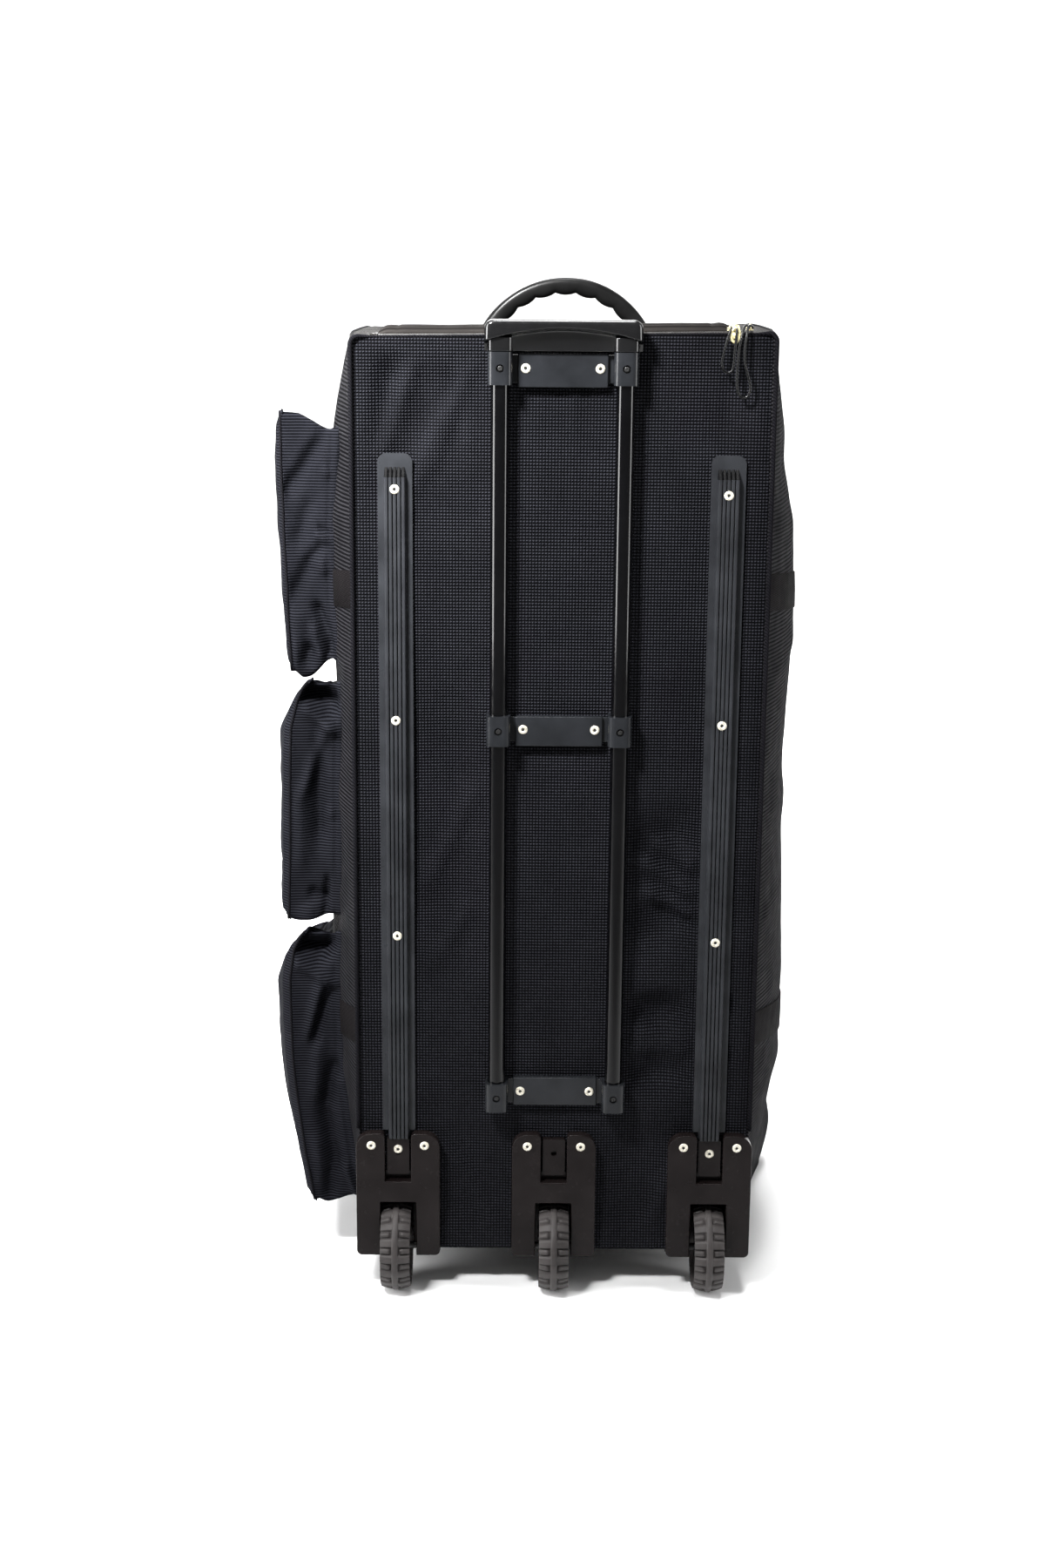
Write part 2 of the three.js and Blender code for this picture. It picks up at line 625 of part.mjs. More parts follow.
function addPocket(row) {
  const rim = { low: { a: POCKET_NEAR, b: row.low }, high: { a: POCKET_FAR, b: row.high } };
  const ring = (wall) => ({ inset, share, crown }) => {
    const low = { a: rim.low.a + inset + wall, b: rim.low.b + inset + wall };
    const high = { a: rim.high.a - inset - wall, b: rim.high.b - inset - wall };
    return rimLoop(low, high, POCKET_CHAMFER, POCKET_STEPS).map(({ a, b }) => {
      const up = (b - row.low) / (row.high - row.low);
      const deep = (a - POCKET_NEAR) / (POCKET_FAR - POCKET_NEAR);
      const sag = row.topSag * deep * up ** 3;
      const z = b - sag + share * (row.drawUp * up ** 3 - row.drawDown * (1 - up) ** 3);
      const reach = share > 0 ? share * tableValue(row.reach, "out", b) + crown - wall : -SUNK;
      const [here, nearRim] = [halfWidth(-1, a, z), halfWidth(-1, POCKET_NEAR, z)];
      return point(-lerp(here, nearRim, POCKET_FLAT * share) - reach, a, z);
    });
  };
  const shell = tray(POCKET_RINGS.map(ring(0)), POCKET_RINGS.map(ring(POCKET_WALL)));
  addPiece(row.name, cut(shell, sideCore(-1)), "pocketCloth");
}

// A long band runs from the trolley panel's right seam round the front to the pockets on the left,
// and a stub shows between the left seam and the pockets.
function addStrap(row) {
  const onSide = (side, y, z, lift) => point(side * (halfWidth(side, y, z) + lift), y, z);
  const onFront = (share, z, lift) => {
    const x = across(share, BODY_DEPTH, z);
    return point(x + (2 * share - 1) * lift, frontDepth(x, z) + lift, z);
  };
  const heightAt = (v, y) => lerp(row.low, row.high, v) - row.fall * y;
  const backDepth = (step) => Math.max(depthAt(1 - step / DEPTH_STEPS), POCKET_FAR + STUB_SHORT);
  const frontEnd = DEPTH_STEPS + 1 + WIDTH_STEPS;
  const total = frontEnd + STRAP_BACK_STEPS;
  const band = (lift) => (u, v) => {
    const k = Math.round(u * total);
    const onwards = k - DEPTH_STEPS - 1;
    if (onwards >= 0 && k <= frontEnd) {
      return onFront(1 - onwards / WIDTH_STEPS, heightAt(v, BODY_DEPTH), lift);
    }
    const y = onwards < 0 ? depthAt(k / DEPTH_STEPS) : backDepth(k - frontEnd - 1);
    return onSide(onwards < 0 ? 1 : -1, y, heightAt(v, y), lift);
  };
  const long = slab(total, 1, band(STRAP_OUT), band(-SUNK));
  addPiece(row.name, cut(long, sideCore(1), sideCore(-1), frontCore()), "webbing");
  const stub = (lift) => (u, v) => {
    const y = lerp(CLOTH_NEAR, POCKET_NEAR - STUB_SHORT, u);
    return onSide(-1, y, heightAt(v, y), lift);
  };
  addPiece(`${row.name}_stub`, cut(slab(3, 1, stub(STRAP_OUT), stub(-SUNK)), sideCore(-1)), "webbing");
}

function addFlap() {
  const ring = (wall) => ({ inset, share }) => {
    const low = { a: FLAP_LOW.x + inset + wall, b: FLAP_LOW.y + inset + wall };
    const high = { a: FLAP_HIGH.x - inset - wall, b: FLAP_HIGH.y - inset - wall };
    return rimLoop(low, high, ZIP_TURN / 2, FLAP_STEPS).map(({ a, b }) => {
      const rise = share > 0 ? share * FLAP_RISE - wall : -SUNK;
      return point(a, b, topHeight(a, b) + rise);
    });
  };
  const shell = tray(FLAP_RINGS.map(ring(0)), FLAP_RINGS.map(ring(CLOTH)));
  addPiece("top_flap", cut(shell, topCore()), "sideCloth");
}

function addZip() {
  const [left, right, near] = [point(-1, 0, 0), point(1, 0, 0), point(0, -1, 0)];
  const flat = [
    point(ZIP_LEFT, ZIP_FAR, 0),
    ...quarter(point(ZIP_LEFT + ZIP_TURN, ZIP_NEAR + ZIP_TURN, 0), left, near, ZIP_TURN, 3),
    point(lerp(ZIP_LEFT, ZIP_RIGHT, 0.5), ZIP_NEAR, 0),
    ...quarter(point(ZIP_RIGHT - ZIP_TURN, ZIP_NEAR + ZIP_TURN, 0), near, right, ZIP_TURN, 3),
    point(ZIP_RIGHT, ZIP_FAR, 0),
  ];
  const laid = flat.map(({ x, y }) => point(x, y, topHeight(x, y)));
  const ridge = ZIP_HALF * 0.6;
  const foot = ZIP_TALL / 2;
  const section = [[-ZIP_HALF, -SUNK], [ZIP_HALF, -SUNK], [ZIP_HALF, foot]];
  section.push([ridge, ZIP_TALL], [-ridge, ZIP_TALL], [-ZIP_HALF, foot]);
  addPiece("top_zip", cut(bar(laid, point(0, 0, 1), () => section), topCore()), "zip");
}

// The two sliders meet at the zip's right corner. Each has a body and a low bridge for its pull.
const SLIDER_ROWS = [
  { name: "near_slider", x: 173, y: ZIP_NEAR, turn: 0 },
  { name: "far_slider", x: ZIP_RIGHT, y: 27, turn: 90 },
];

function addSlider(row) {
  const low = topHeight(row.x, row.y) + GAP + ZIP_TALL;
  const half = point(SLIDER_LONG / 2, SLIDER_WIDE / 2, 0);
  const body = new THREE.Shape();
  body.moveTo(-half.x, -half.y * 0.6).lineTo(half.x * 0.5, -half.y).lineTo(half.x, -half.y * 0.5);
  body.lineTo(half.x, half.y * 0.5).lineTo(half.x * 0.5, half.y).lineTo(-half.x, half.y * 0.6);
  const settings = { depth: SLIDER_TALL * 0.3, bevelSegments: 1 };
  Object.assign(settings, { bevelSize: SLIDER_EDGE, bevelThickness: SLIDER_EDGE });
  const plate = new THREE.ExtrudeGeometry(body, settings).translate(0, 0, SLIDER_EDGE);
  const [long, eyeLong] = [half.x * 0.6, half.x * 0.3];
  const bridge = box(point(-long, -BRIDGE_HALF, 1), point(long, BRIDGE_HALF, SLIDER_TALL));
  const [eyeLow, eyeHigh] = [SLIDER_TALL * 0.55, SLIDER_TALL * 0.75];
  const eye = box(point(-eyeLong, -half.y, eyeLow), point(eyeLong, half.y, eyeHigh));
  const made = cut(join(plate, bridge), eye).rotateZ(degToRad(row.turn)).translate(row.x, row.y, low);
  addPiece(row.name, made, "sliderMetal");
}

// Each pull is one cord that leaves its slider, hangs over the panel's edge and comes back.
const PULL_ROUTES = {
  near_pull: [
    [172.6, 1.9, 1064.6], [170.6, -4.5, 1066], [168.4, -8.6, 1062], [164.8, -9.8, 1050], [162, -9.8, 1038],
    [160.6, -9.8, 1030], [162.4, -9.8, 1023], [167, -9.8, 1020.2], [171.4, -9.8, 1023], [173, -9.8, 1030],
    [173.4, -9.8, 1038], [174.2, -9.8, 1050], [175, -8.6, 1062], [175.8, -4.5, 1066], [176.4, 1.5, 1064.6],
  ],
  far_pull: [
    [190.4, 18.2, 1064.4], [188.6, 9, 1066.2], [185.4, 0, 1067], [182.4, -5.5, 1064.6], [180, -9.4, 1056],
    [177.8, -9.8, 1043], [176.8, -9.8, 1030], [176.4, -9.8, 1018], [176.8, -9.8, 1007], [179, -9.8, 998.4],
    [184, -9.8, 995.2], [189, -9.8, 998.4], [190.4, -9.8, 1007], [187.4, -9.8, 1018], [184.2, -9.8, 1030],
    [183.6, -9.8, 1043], [184.8, -9.4, 1056], [186.6, -5.5, 1064.6], [189.2, 0, 1067], [192, 9, 1066.2],
    [193.6, 18.2, 1064.4],
  ],
};

function addPull(name, route) {
  const curve = new THREE.CatmullRomCurve3(route.map(([x, y, z]) => point(x, y, z)), false, "centripetal");
  const section = new THREE.Shape(roundSection(PULL_RADIUS, 8).map(([x, y]) => new THREE.Vector2(x, y)));
  const settings = { extrudePath: curve, steps: route.length + 1, bevelEnabled: false };
  addPiece(name, new THREE.ExtrudeGeometry(section, settings), "cord");
}

// The grab handle is a round arch with finger waves on its inner side, standing on the top end.
function addGrabHandle() {
  const radius = (HANDLE_HALF ** 2 + HANDLE_RISE ** 2) / (2 * HANDLE_RISE) - HANDLE_THICK / 2;
  const spread = Math.asin(HANDLE_HALF / (radius + HANDLE_THICK / 2));
  const centre = HANDLE_TOP - HANDLE_THICK / 2 - radius;
  const path = Array.from({ length: HANDLE_STEPS + 1 }, (unused, k) => {
    const turn = lerp(-spread, spread, k / HANDLE_STEPS);
    return point(HANDLE_X + radius * Math.sin(turn), HANDLE_Y, centre + radius * Math.cos(turn));
  });
  const section = (share) => {
    const fingers = Math.abs(share - 0.5) < 0.4 ? Math.abs(Math.sin(FINGER_WAVES * Math.PI * share)) : 0;
    const inner = -HANDLE_THICK / 2 + FINGER_DEPTH * fingers;
    const [outer, wide, flat] = [HANDLE_THICK / 2, HANDLE_WIDE / 2, HANDLE_WIDE * 0.28];
    const [lower, upper] = [inner * 0.45, outer * 0.45];
    return [
      [-flat, inner], [flat, inner], [wide, lower], [wide, upper],
      [flat, outer], [-flat, outer], [-wide, upper], [-wide, lower],
    ];
  };
  addPiece("grab_handle", cut(bar(path, point(0, 0, 1), section), topCore()), "softGrip");
}

function addBracket(row) {
  const clampEdge = TUBE_X - CLAMP_HALF;
  const clamp = (x) => {
    const outline = new THREE.Shape();
    const [near, far, r] = [GAP, CLAMP_OUT, CLAMP_ROUND];
    outline.moveTo(x - CLAMP_HALF, near).lineTo(x + CLAMP_HALF, near).lineTo(x + CLAMP_HALF, far - r);
    outline.absarc(x + CLAMP_HALF - r, far - r, r, 0, Math.PI / 2);
    outline.absarc(x - CLAMP_HALF + r, far - r, r, Math.PI / 2, Math.PI);
    const settings = { depth: row.high - row.low, bevelEnabled: false, curveSegments: 2 };
    return new THREE.ExtrudeGeometry(outline, settings).rotateZ(Math.PI).translate(0, 0, row.low);
  };
  const webLow = Math.max(row.low, row.plateLow) + WEB_INSET;
  const webHigh = Math.min(row.high, row.plateHigh) - WEB_INSET;
  const webHalf = clampEdge + WEB_SUNK;
  const web = box(point(-webHalf, -WEB_OUT, webLow), point(webHalf, -GAP, webHigh));
  const plate = box(point(-PLATE_HALF, -PLATE_OUT, row.plateLow), point(PLATE_HALF, -GAP, row.plateHigh));
  const holes = [-TUBE_X, TUBE_X].flatMap((x) => {
    const pass = upright(TUBE_RADIUS + TUBE_FREE, 0, row.low - BEYOND, row.high + BEYOND, TUBE_SIDES);
    const screw = upright(SCREW_RADIUS, 0, CLAMP_OUT - SCREW_DEEP, CLAMP_OUT + BEYOND, SCREW_SIDES);
    screw.rotateX(Math.PI / 2).translate(x, 0, (row.low + row.high) / 2);
    return [pass.translate(x, -TUBE_OUT, 0), screw];
  });
  addPiece(row.name, cut(join(clamp(-TUBE_X), clamp(TUBE_X), web, plate), ...holes), "satinPlastic");
}

function addTubes() {
  for (const [name, x] of [["left", -TUBE_X], ["right", TUBE_X]]) {
    const outer = upright(TUBE_RADIUS, TUBE_BORE, TUBE_LOW, TUBE_HIGH, TUBE_SIDES);
    const inner = upright(INNER_RADIUS, INNER_BORE, INNER_LOW, GRIP_LOW - GAP, TUBE_SIDES);
    addPiece(`${name}_outer_tube`, outer.translate(x, -TUBE_OUT, 0), "tubeBlack");
    addPiece(`${name}_inner_tube`, inner.translate(x, -TUBE_OUT, 0), "tubeBlack");
  }
}

// The grip's lower front is scooped out in an arch for the fingers.
function addGrip() {
  const outline = new THREE.Shape();
  const [side, r] = [GRIP_HALF, GRIP_ROUND];
  outline.moveTo(-side + r / 2, GRIP_LOW).lineTo(side - r / 2, GRIP_LOW).lineTo(side, GRIP_LOW + r / 2);
  outline.lineTo(side, GRIP_HIGH - r).absarc(side - r, GRIP_HIGH - r, r, 0, Math.PI / 2);
  outline.lineTo(-side + r, GRIP_HIGH).absarc(-side + r, GRIP_HIGH - r, r, Math.PI / 2, Math.PI);
  outline.lineTo(-side, GRIP_LOW + r / 2);
  const scoop = new THREE.Shape();
  scoop.moveTo(-SCOOP_HALF, GRIP_LOW - BEYOND).lineTo(SCOOP_HALF, GRIP_LOW - BEYOND);
  scoop.lineTo(SCOOP_HALF, SCOOP_SIDE);
  scoop.quadraticCurveTo(0, 2 * SCOOP_CROWN - SCOOP_SIDE, -SCOOP_HALF, SCOOP_SIDE);
  const body = plateOut(outline, GRIP_BACK, GRIP_OUT, GRIP_EDGE, 4);
  const fingers = plateOut(scoop, SCOOP_BACK, GRIP_OUT + BEYOND, 0, 8);
  addPiece("trolley_grip", cut(body, fingers), "glossPlastic");
}

// A skid rail is a flange with a fluted rib. The rib starts in a ramp and its foot enters a wheel housing.
function addRail(name, x) {
  const [near, face, flute] = [GAP, RAIL_OUT, RAIL_OUT - RAIL_FLUTE];
  const ribOutline = [[-RAIL_RIB_HALF, near], [RAIL_RIB_HALF, near], [RAIL_FACE_HALF, face]];
  for (const middle of [RAIL_FACE_HALF / 2, -RAIL_FACE_HALF / 2]) {
    ribOutline.push([middle + FLUTE_HALF, face], [middle + FLUTE_FLOOR, flute]);
    ribOutline.push([middle - FLUTE_FLOOR, flute], [middle - FLUTE_HALF, face]);
  }
  ribOutline.push([-RAIL_FACE_HALF, face]);
  const ribShape = new THREE.Shape(ribOutline.map(([a, b]) => new THREE.Vector2(a, b)));
  const ribSettings = { depth: RAIL_RIB_HIGH - RAIL_LOW, bevelEnabled: false };
  const rib = new THREE.ExtrudeGeometry(ribShape, ribSettings).rotateZ(Math.PI).translate(0, 0, RAIL_LOW);
  const ramp = new THREE.Shape();
  ramp.moveTo(RAIL_OUT, RAIL_RIB_HIGH - RAIL_RAMP).lineTo(RAIL_OUT + BEYOND, RAIL_RIB_HIGH - RAIL_RAMP);
  ramp.lineTo(RAIL_OUT + BEYOND, RAIL_RIB_HIGH + BEYOND).lineTo(GAP, RAIL_RIB_HIGH + BEYOND);
  ramp.lineTo(RAIL_FLANGE / 2, RAIL_RIB_HIGH);
  const rampSettings = { depth: 2 * RAIL_HALF, bevelEnabled: false };
  const wedge = new THREE.ExtrudeGeometry(ramp, rampSettings).rotateX(Math.PI / 2).rotateZ(-Math.PI / 2);
  const flange = new THREE.Shape();
  const r = RAIL_CORNER;
  flange.moveTo(-RAIL_HALF, RAIL_FLANGE_LOW).lineTo(RAIL_HALF, RAIL_FLANGE_LOW);
  flange.lineTo(RAIL_HALF, RAIL_HIGH - r);
  flange.absarc(RAIL_HALF - r, RAIL_HIGH - r, r, 0, Math.PI / 2);
  flange.absarc(-RAIL_HALF + r, RAIL_HIGH - r, r, Math.PI / 2, Math.PI);
  const base = plateOut(flange, GAP, RAIL_FLANGE, 0);
  const made = join(cut(rib, wedge.translate(RAIL_HALF, 0, 0)), base);
  addPiece(name, made.translate(x, 0, 0), "satinPlastic");
}

// A wheel housing is an H-shaped front with a tab in its channel, a sole under the bottom end and a well.
function addHousing({ name, x }) {
  const [side, r, small] = [HOUSING_HALF, HOUSING_ROUND, HOUSING_CHAMFER];
  const front = new THREE.Shape();
  front.moveTo(-side + small, HOUSING_LOW).lineTo(side - small, HOUSING_LOW);
  front.lineTo(side, HOUSING_LOW + small);
  front.lineTo(side, HOUSING_HIGH - r).absarc(side - r, HOUSING_HIGH - r, r, 0, Math.PI / 2);
  front.lineTo(CHANNEL_HALF + small, HOUSING_HIGH).lineTo(CHANNEL_HALF, HOUSING_HIGH - small);
  front.lineTo(CHANNEL_HALF, CHANNEL_LOW).lineTo(-CHANNEL_HALF, CHANNEL_LOW);
  front.lineTo(-CHANNEL_HALF, HOUSING_HIGH - small).lineTo(-CHANNEL_HALF - small, HOUSING_HIGH);
  front.lineTo(-side + r, HOUSING_HIGH).absarc(-side + r, HOUSING_HIGH - r, r, Math.PI / 2, Math.PI);
  front.lineTo(-side, HOUSING_LOW + small);
  const face = plateOut(front, GAP - HOUSING_EDGE, HOUSING_OUT, HOUSING_EDGE);
  const wide = side + BEYOND;
  const behind = box(point(-wide, -GAP, 0), point(wide, SOLE_DEEP, HOUSING_HIGH + BEYOND));
  const tab = box(point(-TAB_HALF, -TAB_OUT, CHANNEL_LOW - BEYOND), point(TAB_HALF, -GAP, TAB_HIGH));
  const wallX = WELL_HALF + WELL_WALL;
  const far = WELL_DEEP + WELL_WALL;
  const well = box(point(-wallX, -HOUSING_OUT / 2, WELL_LOW), point(wallX, far, WELL_HIGH + WELL_WALL));
  const soleHigh = HOUSING_LOW + SOLE_THICK;
  const sole = box(point(-side, -HOUSING_OUT / 2, HOUSING_LOW), point(side, SOLE_DEEP, soleHigh));
  const room = box(point(-WELL_HALF, -HOUSING_OUT - BEYOND, 0), point(WELL_HALF, WELL_DEEP, WELL_HIGH));
  const tabHole = upright(TAB_HOLE, 0, -BEYOND, TAB_OUT + BEYOND, PIN_SIDES).rotateX(Math.PI / 2);
  tabHole.translate(0, 0, TAB_HOLE_Z);
  const axleHole = upright(AXLE_RADIUS + GAP, 0, -side, side, PIN_SIDES).rotateY(Math.PI / 2);
  const shell = join(cut(face, behind), tab, well, sole);
  const made = cut(shell, room, tabHole, axleHole.translate(0, WHEEL_Y, WHEEL_RADIUS));
  addPiece(`${name}_wheel_housing`, made.translate(x, 0, 0), "housingPlastic");
}

// A tyre has a rib round its middle and a groove between each pair of tread blocks.
function tyreGeometry() {
  const points = [];
  const triangles = [];
  const ringSteps = TREAD_BLOCKS * 4;
  for (let k = 0; k < ringSteps; k += 1) {
    const inGroove = k % 4 > 1;
    const turn = (2 * Math.PI * (k + (k % 2 ? -TREAD_EDGE : TREAD_EDGE))) / ringSteps;
    const tread = WHEEL_RADIUS - TREAD_UNDER - (inGroove ? TREAD_DEEP : 0);
    const half = [[TYRE_HALF - TYRE_TAPER, TYRE_BORE], [TYRE_HALF, tread - TREAD_DROP]];
    half.push([RIB_HALF + TREAD_UNDER, tread], [RIB_HALF, WHEEL_RADIUS]);
    const section = [...half.map(([a, b]) => [-a, b]), ...half.toReversed()];
    section.forEach(([a, b]) => points.push(point(a, b * Math.sin(turn), b * Math.cos(turn))));
  }
  const sides = points.length / ringSteps;
  for (let k = 0; k < ringSteps; k += 1) {
    for (let i = 0; i < sides; i += 1) {
      const next = (k + 1) % ringSteps;
      const [a, b] = [k * sides + i, k * sides + ((i + 1) % sides)];
      const [c, d] = [next * sides + ((i + 1) % sides), next * sides + i];
      triangles.push([a, b, c], [a, c, d]);
    }
  }
  return fromCorners(points, triangles);
}

function hubGeometry() {
  const [bore, rim] = [AXLE_RADIUS + GAP, TYRE_BORE - GAP];
  const web = HUB_HALF - HUB_DISH;
  const oneSide = [[bore, HUB_HALF], [HUB_BOSS, HUB_HALF], [HUB_BOSS + HUB_SLOPE, web], [rim, web]];
  const otherSide = oneSide.toReversed().map(([r, a]) => [r, -a]);
  const profile = [...oneSide, ...otherSide, oneSide[0]].map(([r, a]) => new THREE.Vector2(r, a));
  return new THREE.LatheGeometry(profile, HUB_SIDES).rotateZ(Math.PI / 2);
}

function addWheel({ name, x, shift }) {
  const axle = upright(AXLE_RADIUS, 0, -AXLE_HALF, AXLE_HALF, PIN_SIDES).rotateY(Math.PI / 2);
  const wheel = new THREE.Group();
  wheel.position.set(x, WHEEL_Y, WHEEL_RADIUS);
  addPiece(`${name}_axle`, axle, "steel", wheel);
  addPiece(`${name}_hub`, hubGeometry(), "hubPlastic", wheel).position.setX(shift);
  addPiece(`${name}_tyre`, tyreGeometry(), "rubber", wheel).position.setX(shift);
  bag.add(wheel);
}

addTrolleyPanel();
addClothPanels();
addPiping();
POCKET_ROWS.forEach(addPocket);
STRAP_ROWS.forEach(addStrap);
addFlap();
addZip();
SLIDER_ROWS.forEach(addSlider);
Object.entries(PULL_ROUTES).forEach(([name, route]) => addPull(name, route));
addGrabHandle();
BRACKET_ROWS.forEach(addBracket);
addTubes();
addGrip();
addRail("left_skid_rail", -RAIL_X);
addRail("right_skid_rail", RAIL_X);
WHEEL_ROWS.forEach(addHousing);
WHEEL_ROWS.forEach(addWheel);

// The origin is the bottom centre of the whole bag's box.
const bounds = new THREE.Box3().setFromObject(bag);
const middle = bounds.getCenter(point(0, 0, 0));
bag.position.set(-middle.x, -middle.y, -bounds.min.z);

const kitBag = new THREE.Group();
kitBag.add(bag);
export default kitBag;
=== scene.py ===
"""Looks of a tall wheeled kit bag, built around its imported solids.

Shapes are worked out in millimetres from the bag's home, which is the floor under the middle of the trolley
panel's face. +X is to the right, +Y goes into the bag, +Z is up.
"""

import math

import bpy
import numpy as np
from mathutils import Matrix, Vector, noise


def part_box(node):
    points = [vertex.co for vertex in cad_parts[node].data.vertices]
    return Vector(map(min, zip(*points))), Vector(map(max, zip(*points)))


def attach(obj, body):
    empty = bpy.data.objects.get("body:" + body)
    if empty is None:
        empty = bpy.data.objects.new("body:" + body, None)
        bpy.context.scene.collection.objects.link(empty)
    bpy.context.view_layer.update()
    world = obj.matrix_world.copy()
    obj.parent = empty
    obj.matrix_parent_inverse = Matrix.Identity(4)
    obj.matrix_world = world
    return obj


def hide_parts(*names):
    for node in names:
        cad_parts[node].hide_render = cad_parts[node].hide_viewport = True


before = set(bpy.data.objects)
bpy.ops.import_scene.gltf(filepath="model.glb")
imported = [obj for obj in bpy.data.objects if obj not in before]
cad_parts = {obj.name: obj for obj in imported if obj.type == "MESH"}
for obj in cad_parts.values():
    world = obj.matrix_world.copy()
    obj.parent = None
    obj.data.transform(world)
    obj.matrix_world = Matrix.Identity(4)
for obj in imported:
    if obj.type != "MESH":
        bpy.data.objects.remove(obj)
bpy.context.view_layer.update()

MM = 0.001
panel_low, panel_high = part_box("trolley_panel")
HOME = np.array([(panel_low.x + panel_high.x) / 2, panel_low.y, 0.0])


def link(name, data):
    """An object for this data, linked to the scene."""
    item = bpy.data.objects.new(name, data)
    bpy.context.scene.collection.objects.link(item)
    return item


def new_mesh(name, points, faces, smooth=True):
    mesh = bpy.data.meshes.new(name)
    mesh.from_pydata(points, [], faces)
    mesh.polygons.foreach_set("use_smooth", [smooth] * len(mesh.polygons))
    return mesh


# Camera, from where the photograph was taken
CAMERA_ASIDE, CAMERA_AWAY, CAMERA_HIGH = -0.038, -2.212, 1.130
CAMERA_DOWN, CAMERA_ROLL = math.radians(13.8), math.radians(0.45)
SENSOR_HEIGHT, LENS = 36, 49


def add_camera():
    data = bpy.data.cameras.new("camera")
    data.sensor_fit = "VERTICAL"
    data.sensor_height = SENSOR_HEIGHT
    data.lens = LENS
    camera = link("camera", data)
    place = Matrix.Translation((HOME[0] + CAMERA_ASIDE, HOME[1] + CAMERA_AWAY, CAMERA_HIGH))
    tilt = Matrix.Rotation(math.pi / 2 - CAMERA_DOWN, 4, "X")
    camera.matrix_world = place @ tilt @ Matrix.Rotation(CAMERA_ROLL, 4, "Z")
    bpy.context.scene.camera = camera


# Floor, backdrop and lights, in metres
STAGE_HALF, STAGE_NEAR, STAGE_FAR, STAGE_HIGH = 25.0, -25.0, 5.0, 12.0
STAGE_BEND, BEND_STEPS = 1.5, 8
# Lights: name, place, target, size, watts, spread in degrees
LIGHT_ROWS = [
    ("key", (-0.9, -1.5, 2.3), (-0.36, 0, 1.12), (0.45, 0.35), 34, 48),
    ("left_strip", (-1.75, -0.52, 1.15), (0, 0, 0.95), (0.7, 1.5), 23, 100),
    ("right_strip", (1.75, -0.52, 1.15), (0, 0, 0.95), (0.45, 1.5), 8, 100),
    ("floor_light", (0, 1.6, 4.2), (0, 1.6, 0), (6, 5), 90, 20),
    ("wall_light", (0, 2.2, 3.4), (0, 5, 0.8), (5, 0.6), 130, 130),
    ("back_light", (-0.6, 3.2, 2.7), (0, 0.2, 0.5), (2, 1.2), 30, 90),
]
WORLD_LIGHT = 0.3


def add_stage():
    start = STAGE_FAR - STAGE_BEND
    profile = [(STAGE_NEAR, 0.0), (start, 0.0)]
    for k in range(1, BEND_STEPS + 1):
        turn = math.pi / 2 * k / BEND_STEPS
        profile.append((start + STAGE_BEND * math.sin(turn), STAGE_BEND - STAGE_BEND * math.cos(turn)))
    profile.append((STAGE_FAR, STAGE_HIGH))
    points = [(x, y, z) for y, z in profile for x in (-STAGE_HALF, STAGE_HALF)]
    faces = [(2 * k, 2 * k + 1, 2 * k + 3, 2 * k + 2) for k in range(len(profile) - 1)]
    floor = link("floor", new_mesh("floor", points, faces))
    look = Look("white_floor", (0.95, 0.95, 0.95), 0.9, Specular_IOR_Level=0.1)
    floor.data.materials.append(look.material)


def add_lights():
    world = bpy.data.worlds.new("studio")
    bpy.context.scene.world = world
    world.use_nodes = True
    background = world.node_tree.nodes["Background"]
    background.inputs["Color"].default_value = (1, 1, 1, 1)
    background.inputs["Strength"].default_value = WORLD_LIGHT
    for name, place, target, size, watts, spread in LIGHT_ROWS:
        data = bpy.data.lights.new(name, "AREA")
        data.shape = "RECTANGLE"
        data.size, data.size_y = size
        data.energy = watts
        data.spread = math.radians(spread)
        lamp = link(name, data)
        lamp.location = place
        lamp.rotation_euler = (Vector(target) - Vector(place)).to_track_quat("-Z", "Y").to_euler()
    bpy.context.scene.view_settings.view_transform = "Standard"


